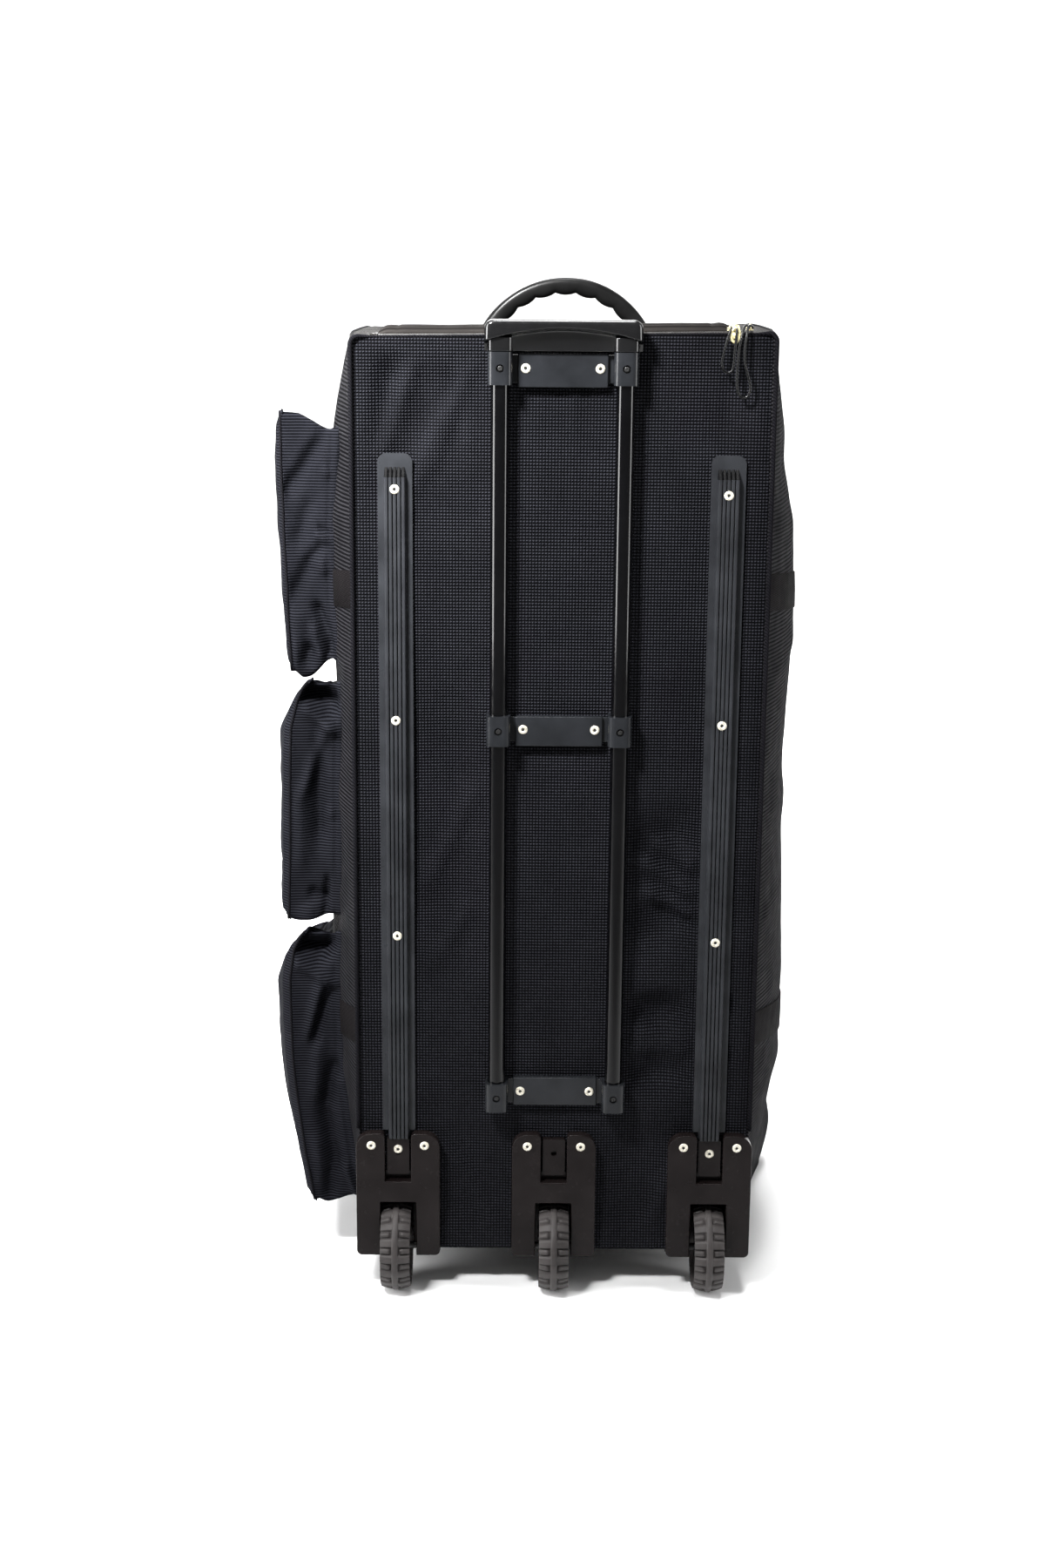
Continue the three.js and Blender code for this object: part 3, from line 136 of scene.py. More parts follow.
# Materials
class Look:
    """A material and the nodes behind its shader. Pitches, sizes and depths are in metres."""

    def __init__(self, name, color, roughness, **values):
        self.material = bpy.data.materials.new(name)
        self.material.use_nodes = True
        self.tree = self.material.node_tree
        self.dress(Base_Color=(*color, 1), Roughness=roughness, **values)

    def feed(self, socket, value):
        """Links a socket to another one, or sets its value."""
        if isinstance(value, bpy.types.NodeSocket):
            self.tree.links.new(value, socket)
        else:
            socket.default_value = value

    def dress(self, **values):
        for key, value in values.items():
            self.feed(self.tree.nodes["Principled BSDF"].inputs[key.replace("_", " ")], value)
        return self.material

    def node(self, kind, inputs, **settings):
        node = self.tree.nodes.new(kind)
        for key, value in settings.items():
            setattr(node, key, value)
        for key, value in inputs.items():
            self.feed(node.inputs[key], value)
        return node

    def place(self):
        return self.node("ShaderNodeTexCoord", {}).outputs["Object"]

    def ribs(self, pitch, direction, wobble=0.0):
        """Even ribs, as a height from 0 to 1."""
        inputs = {"Vector": self.place(), "Scale": 2 * math.pi / (20 * pitch), "Distortion": wobble}
        inputs.update({"Detail": 1.0, "Detail Scale": 0.15})
        wave = self.node("ShaderNodeTexWave", inputs, wave_type="BANDS", bands_direction=direction)
        return wave.outputs["Fac"]

    def grain(self, size, detail=3.0):
        """Soft noise whose blobs have a size, as a value from 0 to 1."""
        inputs = {"Vector": self.place(), "Scale": 1 / size, "Detail": detail, "Roughness": 0.55}
        return self.node("ShaderNodeTexNoise", inputs).outputs["Fac"]

    def maths(self, operation, first, second):
        return self.node("ShaderNodeMath", {0: first, 1: second}, operation=operation).outputs[0]

    def remap(self, value, low, high):
        inputs = {"Value": value, "From Min": 0.3, "From Max": 0.7, "To Min": low, "To Max": high}
        return self.node("ShaderNodeMapRange", inputs).outputs["Result"]

    def bump(self, height, depth, **under):
        inputs = {"Height": height, "Strength": 1.0, "Distance": depth, **under}
        return self.node("ShaderNodeBump", inputs).outputs["Normal"]

    def tint(self, factor, dark, light):
        inputs = {0: factor, 6: (*dark, 1), 7: (*light, 1)}
        return self.node("ShaderNodeMix", inputs, data_type="RGBA").outputs[2]


def cloth(name, dark, light, roughness, shine, weave, weave_depth):
    """Woven cloth: a weave whose grooves are painted darker as shade, soft blotches of colour and a fine
    fuzz.
    """
    look = Look(name, light, roughness, Specular_IOR_Level=shine)
    height = weave(look)
    blotch = look.remap(look.grain(0.06), 0.65, 1.0)
    fuzz = look.bump(look.grain(0.0012, 2.0), 0.00005)
    # The colour follows the weave's height: painted shade in its grooves, with random blotches of tone.
    return look.dress(
        Base_Color=look.tint(look.maths("MULTIPLY", height, blotch), dark, light),
        Roughness=look.remap(look.grain(0.02), roughness - 0.07, roughness + 0.07),
        Normal=look.bump(height, weave_depth, Normal=fuzz),
    )


def waffle(look):
    upright = look.maths("POWER", look.ribs(0.0033, "X"), 0.6)
    return look.maths("MULTIPLY", upright, look.ribs(0.0033, "Z"))


def braid(look):
    return look.ribs(0.0016, "DIAGONAL")


def crossed(pitch, direction, wobble, thread_pitch, thread_direction, thread_low):
    """A weave of ribs with finer threads across them."""
    def weave(look):
        thread = look.remap(look.ribs(thread_pitch, thread_direction), thread_low, 1.0)
        return look.maths("MULTIPLY", look.ribs(pitch, direction, wobble), thread)

    return weave


level_ribs = crossed(0.0031, "Z", 0.4, 0.0011, "X", 0.75)
broad_ribs = crossed(0.0042, "Z", 0.9, 0.0013, "Y", 0.7)
deep_ribs = crossed(0.0031, "Y", 0.4, 0.0011, "X", 0.75)
webbing_weave = crossed(0.0018, "Z", 0.0, 0.0026, "DIAGONAL", 0.6)

# Size and detail of a hard material's stains and of its changes of gloss, and how far its roughness swings
PLASTIC = {"stain": (0.035, 5.0), "gloss": (0.012, 4.0), "swing": (-0.03, 0.05)}
METAL = {"stain": (0.004, 4.0), "gloss": (0.002, 3.0), "swing": (-0.06, 0.1)}


def hard(name, kind, dark, light, roughness, pebble=0, **values):
    """Plastic or metal with faint stains, small changes of gloss and, if it has one, a pebble grain."""
    look = Look(name, light, roughness, **values)
    if pebble:
        look.dress(Normal=look.bump(look.grain(0.0009, 2.0), pebble))
    low, high = kind["swing"]
    return look.dress(
        Base_Color=look.tint(look.remap(look.grain(*kind["stain"]), 0.0, 1.0), dark, light),
        Roughness=look.remap(look.grain(*kind["gloss"]), roughness + low, roughness + high),
    )


# Cloths: dark (painted shade in the weave's grooves), light (the weave's tops), roughness, shine, weave,
# weave depth
CLOTHS = {
    "panel_cloth": ((0.0004, 0.0004, 0.0007), (0.0288, 0.0297, 0.0366), 0.6, 0.03, waffle, 0.0013),
    "front_cloth": ((0.002, 0.002, 0.0024), (0.04, 0.039, 0.044), 0.65, 0.03, level_ribs, 0.0012),
    "side_cloth": ((0.0013, 0.0013, 0.0016), (0.025, 0.0243, 0.0275), 0.7, 0.02, broad_ribs, 0.0014),
    "end_cloth": ((0.003, 0.0027, 0.0025), (0.022, 0.0195, 0.018), 0.62, 0.05, deep_ribs, 0.0008),
    "pocket_cloth": ((0.001, 0.001, 0.0014), (0.0165, 0.0172, 0.0218), 0.8, 0.015, level_ribs, 0.0004),
    "webbing": ((0.0025, 0.0021, 0.0023), (0.0095, 0.0086, 0.0091), 0.75, 0.02, webbing_weave, 0.0004),
    "piping": ((0.002, 0.002, 0.0026), (0.01, 0.0097, 0.0115), 0.85, 0.012, braid, 0.0002),
    "cord": ((0.0004, 0.0004, 0.0005), (0.002, 0.002, 0.0024), 0.3, 0.3, braid, 0.0001),
}
# Plastics: dark, light, roughness, pebble depth, shine
PLASTICS = {
    "zip": ((0.006, 0.0055, 0.005), (0.014, 0.0125, 0.011), 0.42, 0.0001, 0.5),
    "soft_grip": ((0.002, 0.002, 0.002), (0.0045, 0.0045, 0.0045), 0.32, 0.00004, 0.14),
    "gloss_plastic": ((0.0018, 0.0018, 0.002), (0.0035, 0.0035, 0.0038), 0.17, 0, 0.5),
    "bracket_plastic": ((0.0065, 0.0071, 0.0081), (0.0128, 0.0138, 0.0159), 0.2, 0, 0.2),
    "satin_plastic": ((0.011, 0.0116, 0.0132), (0.0215, 0.0228, 0.0258), 0.3, 0, 0.13),
    "housing_plastic": ((0.005, 0.0036, 0.0036), (0.009, 0.007, 0.007), 0.24, 0, 0.09),
    "tube_black": ((0.0005, 0.0005, 0.0007), (0.0012, 0.0012, 0.0015), 0.12, 0, 0.25),
    "tyre_rubber": ((0.02, 0.0178, 0.0175), (0.046, 0.0412, 0.0404), 0.5, 0.0001, 0.2),
    "hub_plastic": ((0.005, 0.005, 0.005), (0.01, 0.01, 0.01), 0.45, 0.0001, 0.5),
    # Near-black fill that paints the shade inside rivet holes and screw slots
    "painted_hole_shade": ((0.002, 0.002, 0.002), (0.004, 0.004, 0.004), 0.6, 0.0001, 0.5),
}
# Metals: dark, light, roughness, how metallic
METALS = {
    "slider_metal": ((0.6, 0.5, 0.22), (0.95, 0.9, 0.6), 0.22, 0.6),
    "rivet_metal": ((0.45, 0.42, 0.34), (0.72, 0.69, 0.6), 0.28, 0.4),
    "axle_steel": ((0.03, 0.03, 0.03), (0.06, 0.06, 0.06), 0.4, 1.0),
}
MATERIALS = {name: cloth(name, *row) for name, row in CLOTHS.items()}
for name, (*row, shine) in PLASTICS.items():
    MATERIALS[name] = hard(name, PLASTIC, *row, Specular_IOR_Level=shine)
for name, (*row, metallic) in METALS.items():
    MATERIALS[name] = hard(name, METAL, *row, Metallic=metallic)


# Mesh building
class Shape:
    """Points in bag millimetres and faces, collected into one mesh."""

    def __init__(self):
        self.points = []
        self.faces = []

    def add(self, points, faces):
        start = len(self.points)
        self.points.extend(np.asarray(points, float).tolist())
        self.faces.extend(tuple(i + start for i in face) for face in faces)
        return self

    def mesh(self, name, smooth):
        return new_mesh(name, (np.array(self.points) * MM + HOME).tolist(), self.faces, smooth)


def make_piece(name, shape, material, node=None, body="bag", smooth=True):
    """A mesh piece that rides on a body and stands for the node that it replaces, if any."""
    piece = link(name, shape.mesh(name, smooth))
    piece.data.materials.append(MATERIALS[material])
    piece.data.update()
    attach(piece, body)
    if node:
        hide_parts(node)
    return piece


def thicken(piece, wall):
    """Gives a sheet its wall, on the side that its faces turn away from."""
    modifier = piece.modifiers.new("wall", "SOLIDIFY")
    modifier.thickness = wall * MM
    modifier.offset = -1


def soften(piece, width, segments=3):
    """Rounds the sharp edges of a hard piece."""
    modifier = piece.modifiers.new("edges", "BEVEL")
    modifier.width = width * MM
    modifier.segments = segments
    modifier.limit_method = "ANGLE"
    modifier.angle_limit = math.radians(32)
    modifier.harden_normals = True


def crease(piece, degrees):
    """Keeps the edges sharp that turn by more than this."""
    piece.data.set_sharp_from_angle(angle=math.radians(degrees))


def carve(piece, cutter_shape):
    """Cuts a closed shape out of a piece for good."""
    cutter = link("cutter", cutter_shape.mesh("cutter", False))
    modifier = piece.modifiers.new("cut", "BOOLEAN")
    modifier.operation = "DIFFERENCE"
    modifier.solver = "EXACT"
    modifier.object = cutter
    graph = bpy.context.evaluated_depsgraph_get()
    carved = bpy.data.meshes.new_from_object(piece.evaluated_get(graph))
    piece.modifiers.remove(modifier)
    piece.data = carved
    bpy.data.objects.remove(cutter)


def whole(values):
    return np.round(values).astype(int)


def grid(surface, us, vs, closed=False, flip=False):
    """A sheet over two lists of shares. A closed one joins its last column to its first."""
    u, v = np.meshgrid(us, vs)
    points = np.stack(surface(u.ravel(), v.ravel()), axis=1)
    columns = len(us)
    faces = []
    for row in range(len(vs) - 1):
        for column in range(columns if closed else columns - 1):
            a = row * columns + column
            b = row * columns + (column + 1) % columns
            face = (a, b, b + columns, a + columns)
            faces.append(face[::-1] if flip else face)
    return points, faces


def outward(points, faces):
    """The faces of a closed body, all turned round if its volume comes out negative."""
    corners = np.asarray(points, float)
    volume = 0.0
    for face in faces:
        for k in range(1, len(face) - 1):
            a, b, c = corners[face[0]], corners[face[k]], corners[face[k + 1]]
            volume += np.dot(a, np.cross(b, c))
    return [face[::-1] for face in faces] if volume < 0 else faces


def loft(rings, closed=False, turned=False):
    """A closed body through rings of points, with flat ends unless its last ring joins its first.

    The faces of a turned body go from ring to ring first, and then along the ring.
    """
    count, sides = len(rings), len(rings[0])
    faces = []
    for k in range(count if closed else count - 1):
        here, after = k * sides, (k + 1) % count * sides
        for i in range(sides):
            j = (i + 1) % sides
            faces.append((here + i, here + j, after + j, after + i))
    if not closed:
        faces.append(tuple(range(sides))[::-1])
        faces.append(tuple(range((count - 1) * sides, count * sides)))
    if turned:
        faces = [(face[0], *face[:0:-1]) for face in faces]
    points = [point for ring in rings for point in ring]
    return points, outward(points, faces)


def prism(outline, place, low, high):
    """A closed outline, drawn out between two heights along the third direction that place gives."""
    return loft([[place(a, b, level) for a, b in outline] for level in (low, high)])


def from_panel(a, b, out):
    """Drawn in X and Z, standing out from the trolley panel."""
    return (a, -out, b)


def from_floor(a, b, height):
    """Drawn in X and distance from the panel, standing upright."""
    return (a, -b, height)


def rounded(corners, steps=6):
    """An outline through corners given as (a, b, radius), with an arc at each."""
    outline = []
    for k, (a, b, radius) in enumerate(corners):
        here = Vector((a, b))
        into = (here - Vector(corners[k - 1][:2])).normalized()
        away = (Vector(corners[(k + 1) % len(corners)][:2]) - here).normalized()
        turn = math.atan2(into.x * away.y - into.y * away.x, into.dot(away))
        if radius <= 0 or abs(turn) < 1e-3:
            outline.append((a, b))
            continue
        start = here - into * radius * math.tan(abs(turn) / 2)
        side = Vector((-into.y, into.x)) * math.copysign(1, turn)
        centre = start + side * radius
        for step in range(steps + 1):
            spoke = Matrix.Rotation(turn * step / steps, 2) @ (start - centre)
            outline.append(tuple(centre + spoke))
    return outline


def oblong(low, high, low_round=0, high_round=0, steps=6):
    """A rectangle between two corners, with one radius at its lower corners and one at its upper ones."""
    (a, b), (c, d) = low, high
    return rounded([(a, b, low_round), (c, b, low_round), (c, d, high_round), (a, d, high_round)], steps)


def mirrored(half):
    """An outline from the half of it that lies to the right."""
    return half + [(-a, *rest) for a, *rest in half[::-1]]


def lathe(profile, segments, place):
    """A closed profile of (radius, along), turned about an axis that place gives."""
    turns = [2 * math.pi * k / segments for k in range(segments)]
    rings = [[place(r * math.cos(t), r * math.sin(t), along) for r, along in profile] for t in turns]
    return loft(rings, closed=True, turned=True)


def facing(x, z, out=0.0):
    """A place on an axis that stands out from the trolley panel."""
    return lambda a, b, level: (x + a, -out - level, z + b)


def rod(radius, low, high):
    """The profile of a plain round bar."""
    return [(0.001, low), (radius, low), (radius, high), (0.001, high)]


def smooth_line(route, steps):
    """A smooth curve through the points of a route, with a few steps between each pair."""
    knots = [Vector(p) for p in route]
    knots = [2 * knots[0] - knots[1], *knots, 2 * knots[-1] - knots[-2]]
    line = []
    for k in range(1, len(knots) - 2):
        p0, p1, p2, p3 = knots[k - 1 : k + 3]
        bend = 2 * p0 - 5 * p1 + 4 * p2 - p3
        twist = 3 * p1 - p0 - 3 * p2 + p3
        for step in range(steps):
            t = step / steps
            line.append(0.5 * (2 * p1 + (p2 - p0) * t + bend * t**2 + twist * t**3))
    line.append(knots[-2])
    return line


def tube(line, radius, sides, closed=False):
    """A round bar along a line of points. It may have a radius for each point."""
    line = [Vector(p) for p in line]
    count = len(line)
    radii = np.broadcast_to(radius, count).tolist()
    turns = [2 * math.pi * i / sides for i in range(sides)]
    rings = []
    lift = Vector((0, 0, 1))
    for k, centre in enumerate(line):
        before = line[k - 1] if closed or k else line[0]
        after = line[(k + 1) % count] if closed or k + 1 < count else line[-1]
        along = (after - before).normalized()
        lift = lift - along * lift.dot(along)
        if lift.length < 1e-3:
            lift = along.orthogonal()
        lift.normalize()
        side = along.cross(lift)
        rings.append([centre + radii[k] * (math.cos(t) * side + math.sin(t) * lift) for t in turns])
    return loft(rings, closed, turned=True)


def ripple(a, b, size, seed):
    """Soft noise from about -1 to 1 over a surface."""
    return np.array([noise.noise(Vector((p / size, q / size, seed))) for p, q in zip(a, b)])


FOLD_EVEN, FOLD_FADE = 0.32, 0.2


def folds(rows, a, b):
    """Height of soft folds. A row is a ridge, or a hollow where it is negative, that fades at its ends."""
    height = np.zeros_like(a)
    for a0, b0, a1, b1, wide, high in rows:
        run = np.hypot(a1 - a0, b1 - b0)
        along = ((a - a0) * (a1 - a0) + (b - b0) * (b1 - b0)) / run**2
        aside = ((a - a0) * (b1 - b0) - (b - b0) * (a1 - a0)) / run
        past = np.maximum(0, np.abs(along - 0.5) - FOLD_EVEN)
        height += high * np.exp(-((past / FOLD_FADE) ** 2) - (aside / wide) ** 2)
    return height


def hump(value, middle, wide):
    return np.exp(-(((value - middle) / wide) ** 2))


def shares(count, edge=0.0):
    """Even shares from 0 to 1, with two closer ones at each end where an edge is given."""
    middle = np.linspace(edge, 1 - edge, count + 1)
    if edge == 0:
        return middle
    return np.concatenate([[0, edge / 2], middle, [1 - edge / 2, 1]])


def least(*values):
    return np.minimum.reduce(values)


def smoothstep(value, low, high):
    share = np.clip((value - low) / (high - low), 0, 1)
    return share**2 * (3 - 2 * share)


# Outer surfaces of the soft body
PANEL_HALF, PANEL_CORNER = 216.0, 9.0
BODY_TOP, BODY_BOTTOM, BODY_DEPTH = 1057.0, 48.0, 390.0
CLOTH, STIFF = 2.5, 3.0
CLOTH_START = 0.6
# Hard pieces and piping keep this gap from the panel.
GAP = 0.3
FRONT_CROWN = 24.0
SIDE_ROWS = {
    "z": [0, 40, 80, 115, 160, 240, 340, 470, 580, 680, 750, 830, 900, 980, 1057],
    "left": [0, 1, 4, 10, 22, 38, 42, 37, 36, 32, 42, 44, 40, 29, 10],
    "right": [0, 1, 5, 14, 33, 48, 49, 45, 41, 46, 49, 45, 36, 27, 10],
    "flare": [66, 84, 80, 62, 32, 18, 12, 10, 10, 10, 10, 10, 10, 8, 6],
}


def by_height(column, z):
    """A column of the side table, smoothed over a few centimetres."""
    spread = (-24, -12, 0, 12, 24)
    return sum(np.interp(z + d, SIDE_ROWS["z"], SIDE_ROWS[column]) for d in spread) / len(spread)


def arch(share):
    return 4 * share * (1 - share)


def far_rounding(y):
    return np.clip((y - 342) / 48, 0, None) ** 2


def half_width(side, y, z):
    deep = y / BODY_DEPTH
    bulge = arch(deep) * by_height("left" if side < 0 else "right", z)
    return PANEL_HALF + bulge + deep**2 * by_height("flare", z) - 24 * far_rounding(y)


def bottom_height(y):
    return BODY_BOTTOM * (1 - smoothstep(y, 80, 300)) + 10 * far_rounding(y)


def top_seam(x, y):
    return BODY_TOP + 3 * x / PANEL_HALF - 14 * far_rounding(y)


def top_height(x, y):
    side_x = np.where(x < 0, half_width(-1, y, BODY_TOP), half_width(1, y, BODY_TOP))
    return top_seam(x, y) - 8 * (1 - (x / side_x) ** 4) * arch(y / BODY_DEPTH)


def across(share, y, z):
    return (1 - share) * -half_width(-1, y, z) + share * half_width(1, y, z)


def front_bow(share, z):
    """How far the front panel stands out, by its share across and its height."""
    return FRONT_CROWN * (1 - np.abs(2 * share - 1) ** 4) * arch(z / BODY_TOP).clip(0) ** 0.6


# Trolley panel
WHEEL_X = (-173.0, 0.0, 173.0)
WHEEL_SHIFT = (-2.6, 0.8, 0.6)
WHEEL_NAMES = ("left", "centre", "right")
WELL_CUT, WELL_CUT_HIGH = 26.0, 114.0
# Folds of the panel: from x, z to x, z, half width, height (into the bag where negative)
PANEL_FOLDS = [
    (-206, 940, -170, 1048, 17, -12), (-196, 880, -118, 1020, 34, -5), (-178, 870, -112, 985, 11, 3.5),
    (-186, 930, -150, 1040, 9, 4.0), (-148, 900, -92, 1030, 8, 2.6), (140, 940, 186, 1010, 26, -4),
    (118, 400, 118, 560, 34, -14), (113, 534, 149, 519, 8, -2.5), (105, 523, 149, 491, 8, 9.0),
    (90, 502, 146, 462, 8, 11.0), (94, 468, 148, 440, 8, 11.0), (108, 448, 143, 428, 9, -3.0),
    (114, 240, 114, 350, 32, -13), (84, 361, 143, 361, 9, 4.0), (84, 332, 143, 328, 10, -3.0),
    (84, 297, 143, 289, 17, 14.0), (84, 252, 143, 256, 10, -3.0), (184, 349, 206, 322, 7, -9),
    (184, 289, 206, 263, 7, -9), (-112, 420, -112, 700, 44, -6), (-142, 470, -88, 580, 10, 3.6),
    (-138, 380, -92, 450, 9, 3.0), (90, 80, 100, 190, 36, -6), (104, 70, 140, 160, 10, 3.4),
    (-88, 80, -92, 200, 36, -6), (-66, 70, -112, 160, 10, 3.2),
]


def drop_wells(points, faces, deep):
    """The faces that lie clear of the wheel wells."""
    corners = np.asarray(points)
    kept = []
    for face in faces:
        x, y, z = corners[list(face)].mean(axis=0)
        inside = any(abs(x - middle) < WELL_CUT for middle in WHEEL_X)
        if not (inside and z < WELL_CUT_HIGH and y < deep):
            kept.append(face)
    return kept


def add_trolley_panel():
    def surface(u, v):
        x = PANEL_HALF * (2 * u - 1)
        from_side = PANEL_HALF - np.abs(x)
        into = np.maximum(0, PANEL_CORNER - from_side)
        high = top_seam(x, 0) - PANEL_CORNER + np.sqrt(PANEL_CORNER**2 - into**2)
        z = BODY_BOTTOM + v * (high - BODY_BOTTOM)
        edge = least(from_side, high - z, z - BODY_BOTTOM)
        depth = 1.2 - folds(PANEL_FOLDS, x, z) + 0.8 * ripple(x, z, 70, 3.1)
        depth += 0.3 * ripple(x, z, 22, 7.7)
        gathered = np.exp(-edge / 70) + 0.6 * smoothstep(z, 820, 1000)
        depth += 1.2 * gathered * ripple(x, z * 0.06, 9, 2.2)
        return x, np.maximum(depth, 0.1) * smoothstep(edge, 10, 45) + 1.6 * hump(from_side, 0, 5), z

    points, faces = grid(surface, shares(84, 0.008), shares(196, 0.004))
    shape = Shape().add(points, drop_wells(points, faces, 60))
    thicken(make_piece("trolley_panel_cloth", shape, "panel_cloth", "trolley_panel"), STIFF)


# Side, front, top and bottom cloth
STRAP_ROWS = [
    {"name": "upper_strap", "low": 774.0, "high": 814.0, "fall": 0.12},
    {"name": "lower_strap", "low": 291.0, "high": 331.0, "fall": 0.2},
]
# Folds of both sides: from y, z to y, z, half width, height
SIDE_FOLDS = [
    (30, 870, 150, 850, 16, 2.4), (60, 930, 210, 905, 22, -3.0), (20, 700, 140, 725, 14, 2.2),
    (150, 640, 330, 690, 20, -3.0), (40, 560, 200, 535, 22, 2.4), (210, 470, 350, 520, 20, -2.6),
    (20, 430, 120, 445, 14, 2.0), (60, 240, 240, 215, 18, 2.6), (150, 170, 330, 200, 20, -3.4),
    (240, 110, 360, 130, 16, 3.0), (230, 780, 360, 800, 26, 2.4),
]
# Folds of the front: from x, z to x, z, half width, height
FRONT_FOLDS = [
    (-150, 820, 40, 760, 40, -6), (-60, 880, 150, 820, 30, 5), (-170, 560, 20, 620, 36, 5),
    (20, 520, 170, 590, 34, -6), (-140, 300, 60, 250, 40, -5), (-20, 380, 160, 340, 26, 4),
    (-200, 130, 0, 160, 30, 5), (40, 120, 220, 150, 30, -5),
]


def off_straps(y, z):
    """0 under the webbing and 1 away from it."""
    free = np.ones_like(y)
    for row in STRAP_ROWS:
        middle = (row["low"] + row["high"]) / 2 - row["fall"] * y
        free *= smoothstep(np.abs(z - middle), 20, 42)
    return free


def side_wrinkles(side, y, z):
    seed = 2.3 if side < 0 else 9.1
    wrinkle = folds(SIDE_FOLDS, y, z) + 1.3 * ripple(y, z, 75, seed) + 0.5 * ripple(y, z, 26, seed + 1)
    wrinkle = wrinkle * smoothstep(np.minimum(y, BODY_DEPTH - y), 4, 30)
    gathered = np.exp(-y / 60) * smoothstep(y, 0, 8)
    gathers = 1.2 * ripple(z, y * 0.3, 15, seed + 2) + 1.6 * ripple(z, y * 0.3, 48, seed + 3)
    return (wrinkle + gathered * gathers) * off_straps(y, z)


def seam_tuck(edge):
    """Cloth that is drawn in along a seam."""
    return 1.8 * hump(edge, 0, 5)


def from_seam(share):
    """Distance from the nearer of two side seams."""
    return np.minimum(share, 1 - share) * 2 * PANEL_HALF


def add_side(side, name):
    def surface(u, v):
        y = CLOTH_START + u * (BODY_DEPTH - CLOTH_START)
        low = bottom_height(y)
        high = top_seam(side * half_width(side, y, BODY_TOP), y)
        z = low + v * (high - low)
        edge = least(BODY_DEPTH - y, y + 8, z - low, high - z)
        return side * (half_width(side, y, z) + side_wrinkles(side, y, z) - seam_tuck(edge)), y, z

    shape = Shape().add(*grid(surface, shares(64, 0.012), shares(172, 0.005), flip=side < 0))
    thicken(make_piece(f"{name}_cloth", shape, "side_cloth", name), CLOTH)


def add_front():
    def surface(u, v):
        deep = np.full_like(u, BODY_DEPTH)
        low = bottom_height(deep)
        high = top_seam(PANEL_HALF * (2 * u - 1), deep)
        z = low + v * (high - low)
        x = across(u, deep, z)
        edge = least(from_seam(u), z - low, high - z)
        wrinkle = folds(FRONT_FOLDS, x, z) + 2.0 * ripple(x, z, 90, 4.4) + 0.6 * ripple(x, z, 30, 6.2)
        wrinkle *= off_straps(deep, z) * smoothstep(edge, 4, 40)
        return x, BODY_DEPTH + front_bow(u, z) + wrinkle - seam_tuck(edge), z

    shape = Shape().add(*grid(surface, shares(72, 0.01), shares(170, 0.005), flip=True))
    thicken(make_piece("front_panel_cloth", shape, "front_cloth", "front_panel"), CLOTH)


def add_ends():
    def top(u, v):
        y = CLOTH_START + v * (BODY_DEPTH - CLOTH_START)
        x = across(u, y, BODY_TOP)
        edge = least(from_seam(u), y + 8, BODY_DEPTH - y)
        wrinkle = 1.4 * ripple(x, y, 60, 5.5) * smoothstep(edge, 4, 40) * smoothstep(y, 110, 150)
        return x, y, top_height(x, y) + wrinkle - seam_tuck(edge)

    def bottom(u, v):
        y = CLOTH_START + v * (BODY_DEPTH - CLOTH_START)
        z = bottom_height(y)
        return across(u, y, z), y, z

    shape = Shape().add(*grid(top, shares(72, 0.01), shares(64, 0.012)))
    thicken(make_piece("top_end_cloth", shape, "end_cloth", "top_end_panel"), CLOTH)
    points, faces = grid(bottom, shares(72), shares(64), flip=True)
    shape = Shape().add(points, drop_wells(points, faces, 64))
    thicken(make_piece("bottom_end_cloth", shape, "end_cloth", "bottom_end_panel"), CLOTH)


# Piping round the trolley panel
PIPING_RADIUS, PIPING_TOP_RADIUS, PIPING_LOW = 2.4, 1.2, 193.0
PIPING_SIDE, PIPING_CORNER_STEPS = PANEL_HALF + 1, 8


def piping_leg(way):
    """Points in x and z up one side of the panel and round its top corner."""
    top = top_seam(way * PIPING_SIDE, 0)
    leg = [(way * PIPING_SIDE, z) for z in np.linspace(PIPING_LOW, top - PANEL_CORNER, 60)]
    for k in range(1, PIPING_CORNER_STEPS):
        turn = math.pi / 2 * k / PIPING_CORNER_STEPS
        x = PIPING_SIDE - PANEL_CORNER * (1 - math.cos(turn))
        leg.append((way * x, top - PANEL_CORNER * (1 - math.sin(turn))))
    return leg


def add_panel_piping():
    reach = PIPING_SIDE - PANEL_CORNER
    top = [(x, top_seam(x, 0)) for x in np.linspace(-reach, reach, 40)]
    line = piping_leg(-1) + top + piping_leg(1)[::-1]
    thin = [1 - smoothstep(abs(x), PIPING_SIDE - 22, PIPING_SIDE - 2) for x, z in line]
    radii = [PIPING_RADIUS - (PIPING_RADIUS - PIPING_TOP_RADIUS) * share for share in thin]
    y = -PIPING_RADIUS - GAP
    line = [(x, y + 3.0 * share, z - 1.0 * share) for (x, z), share in zip(line, thin)]
    make_piece("panel_piping_cord", Shape().add(*tube(line, radii, 12)), "piping", "panel_piping")


# Side pockets
POCKET_NEAR, POCKET_FAR = 72.0, 322.0
POCKET_WALL, POCKET_ROUND, POCKET_PIPING = 2.0, 9.0, 1.6
POCKET_RIM = 0.97
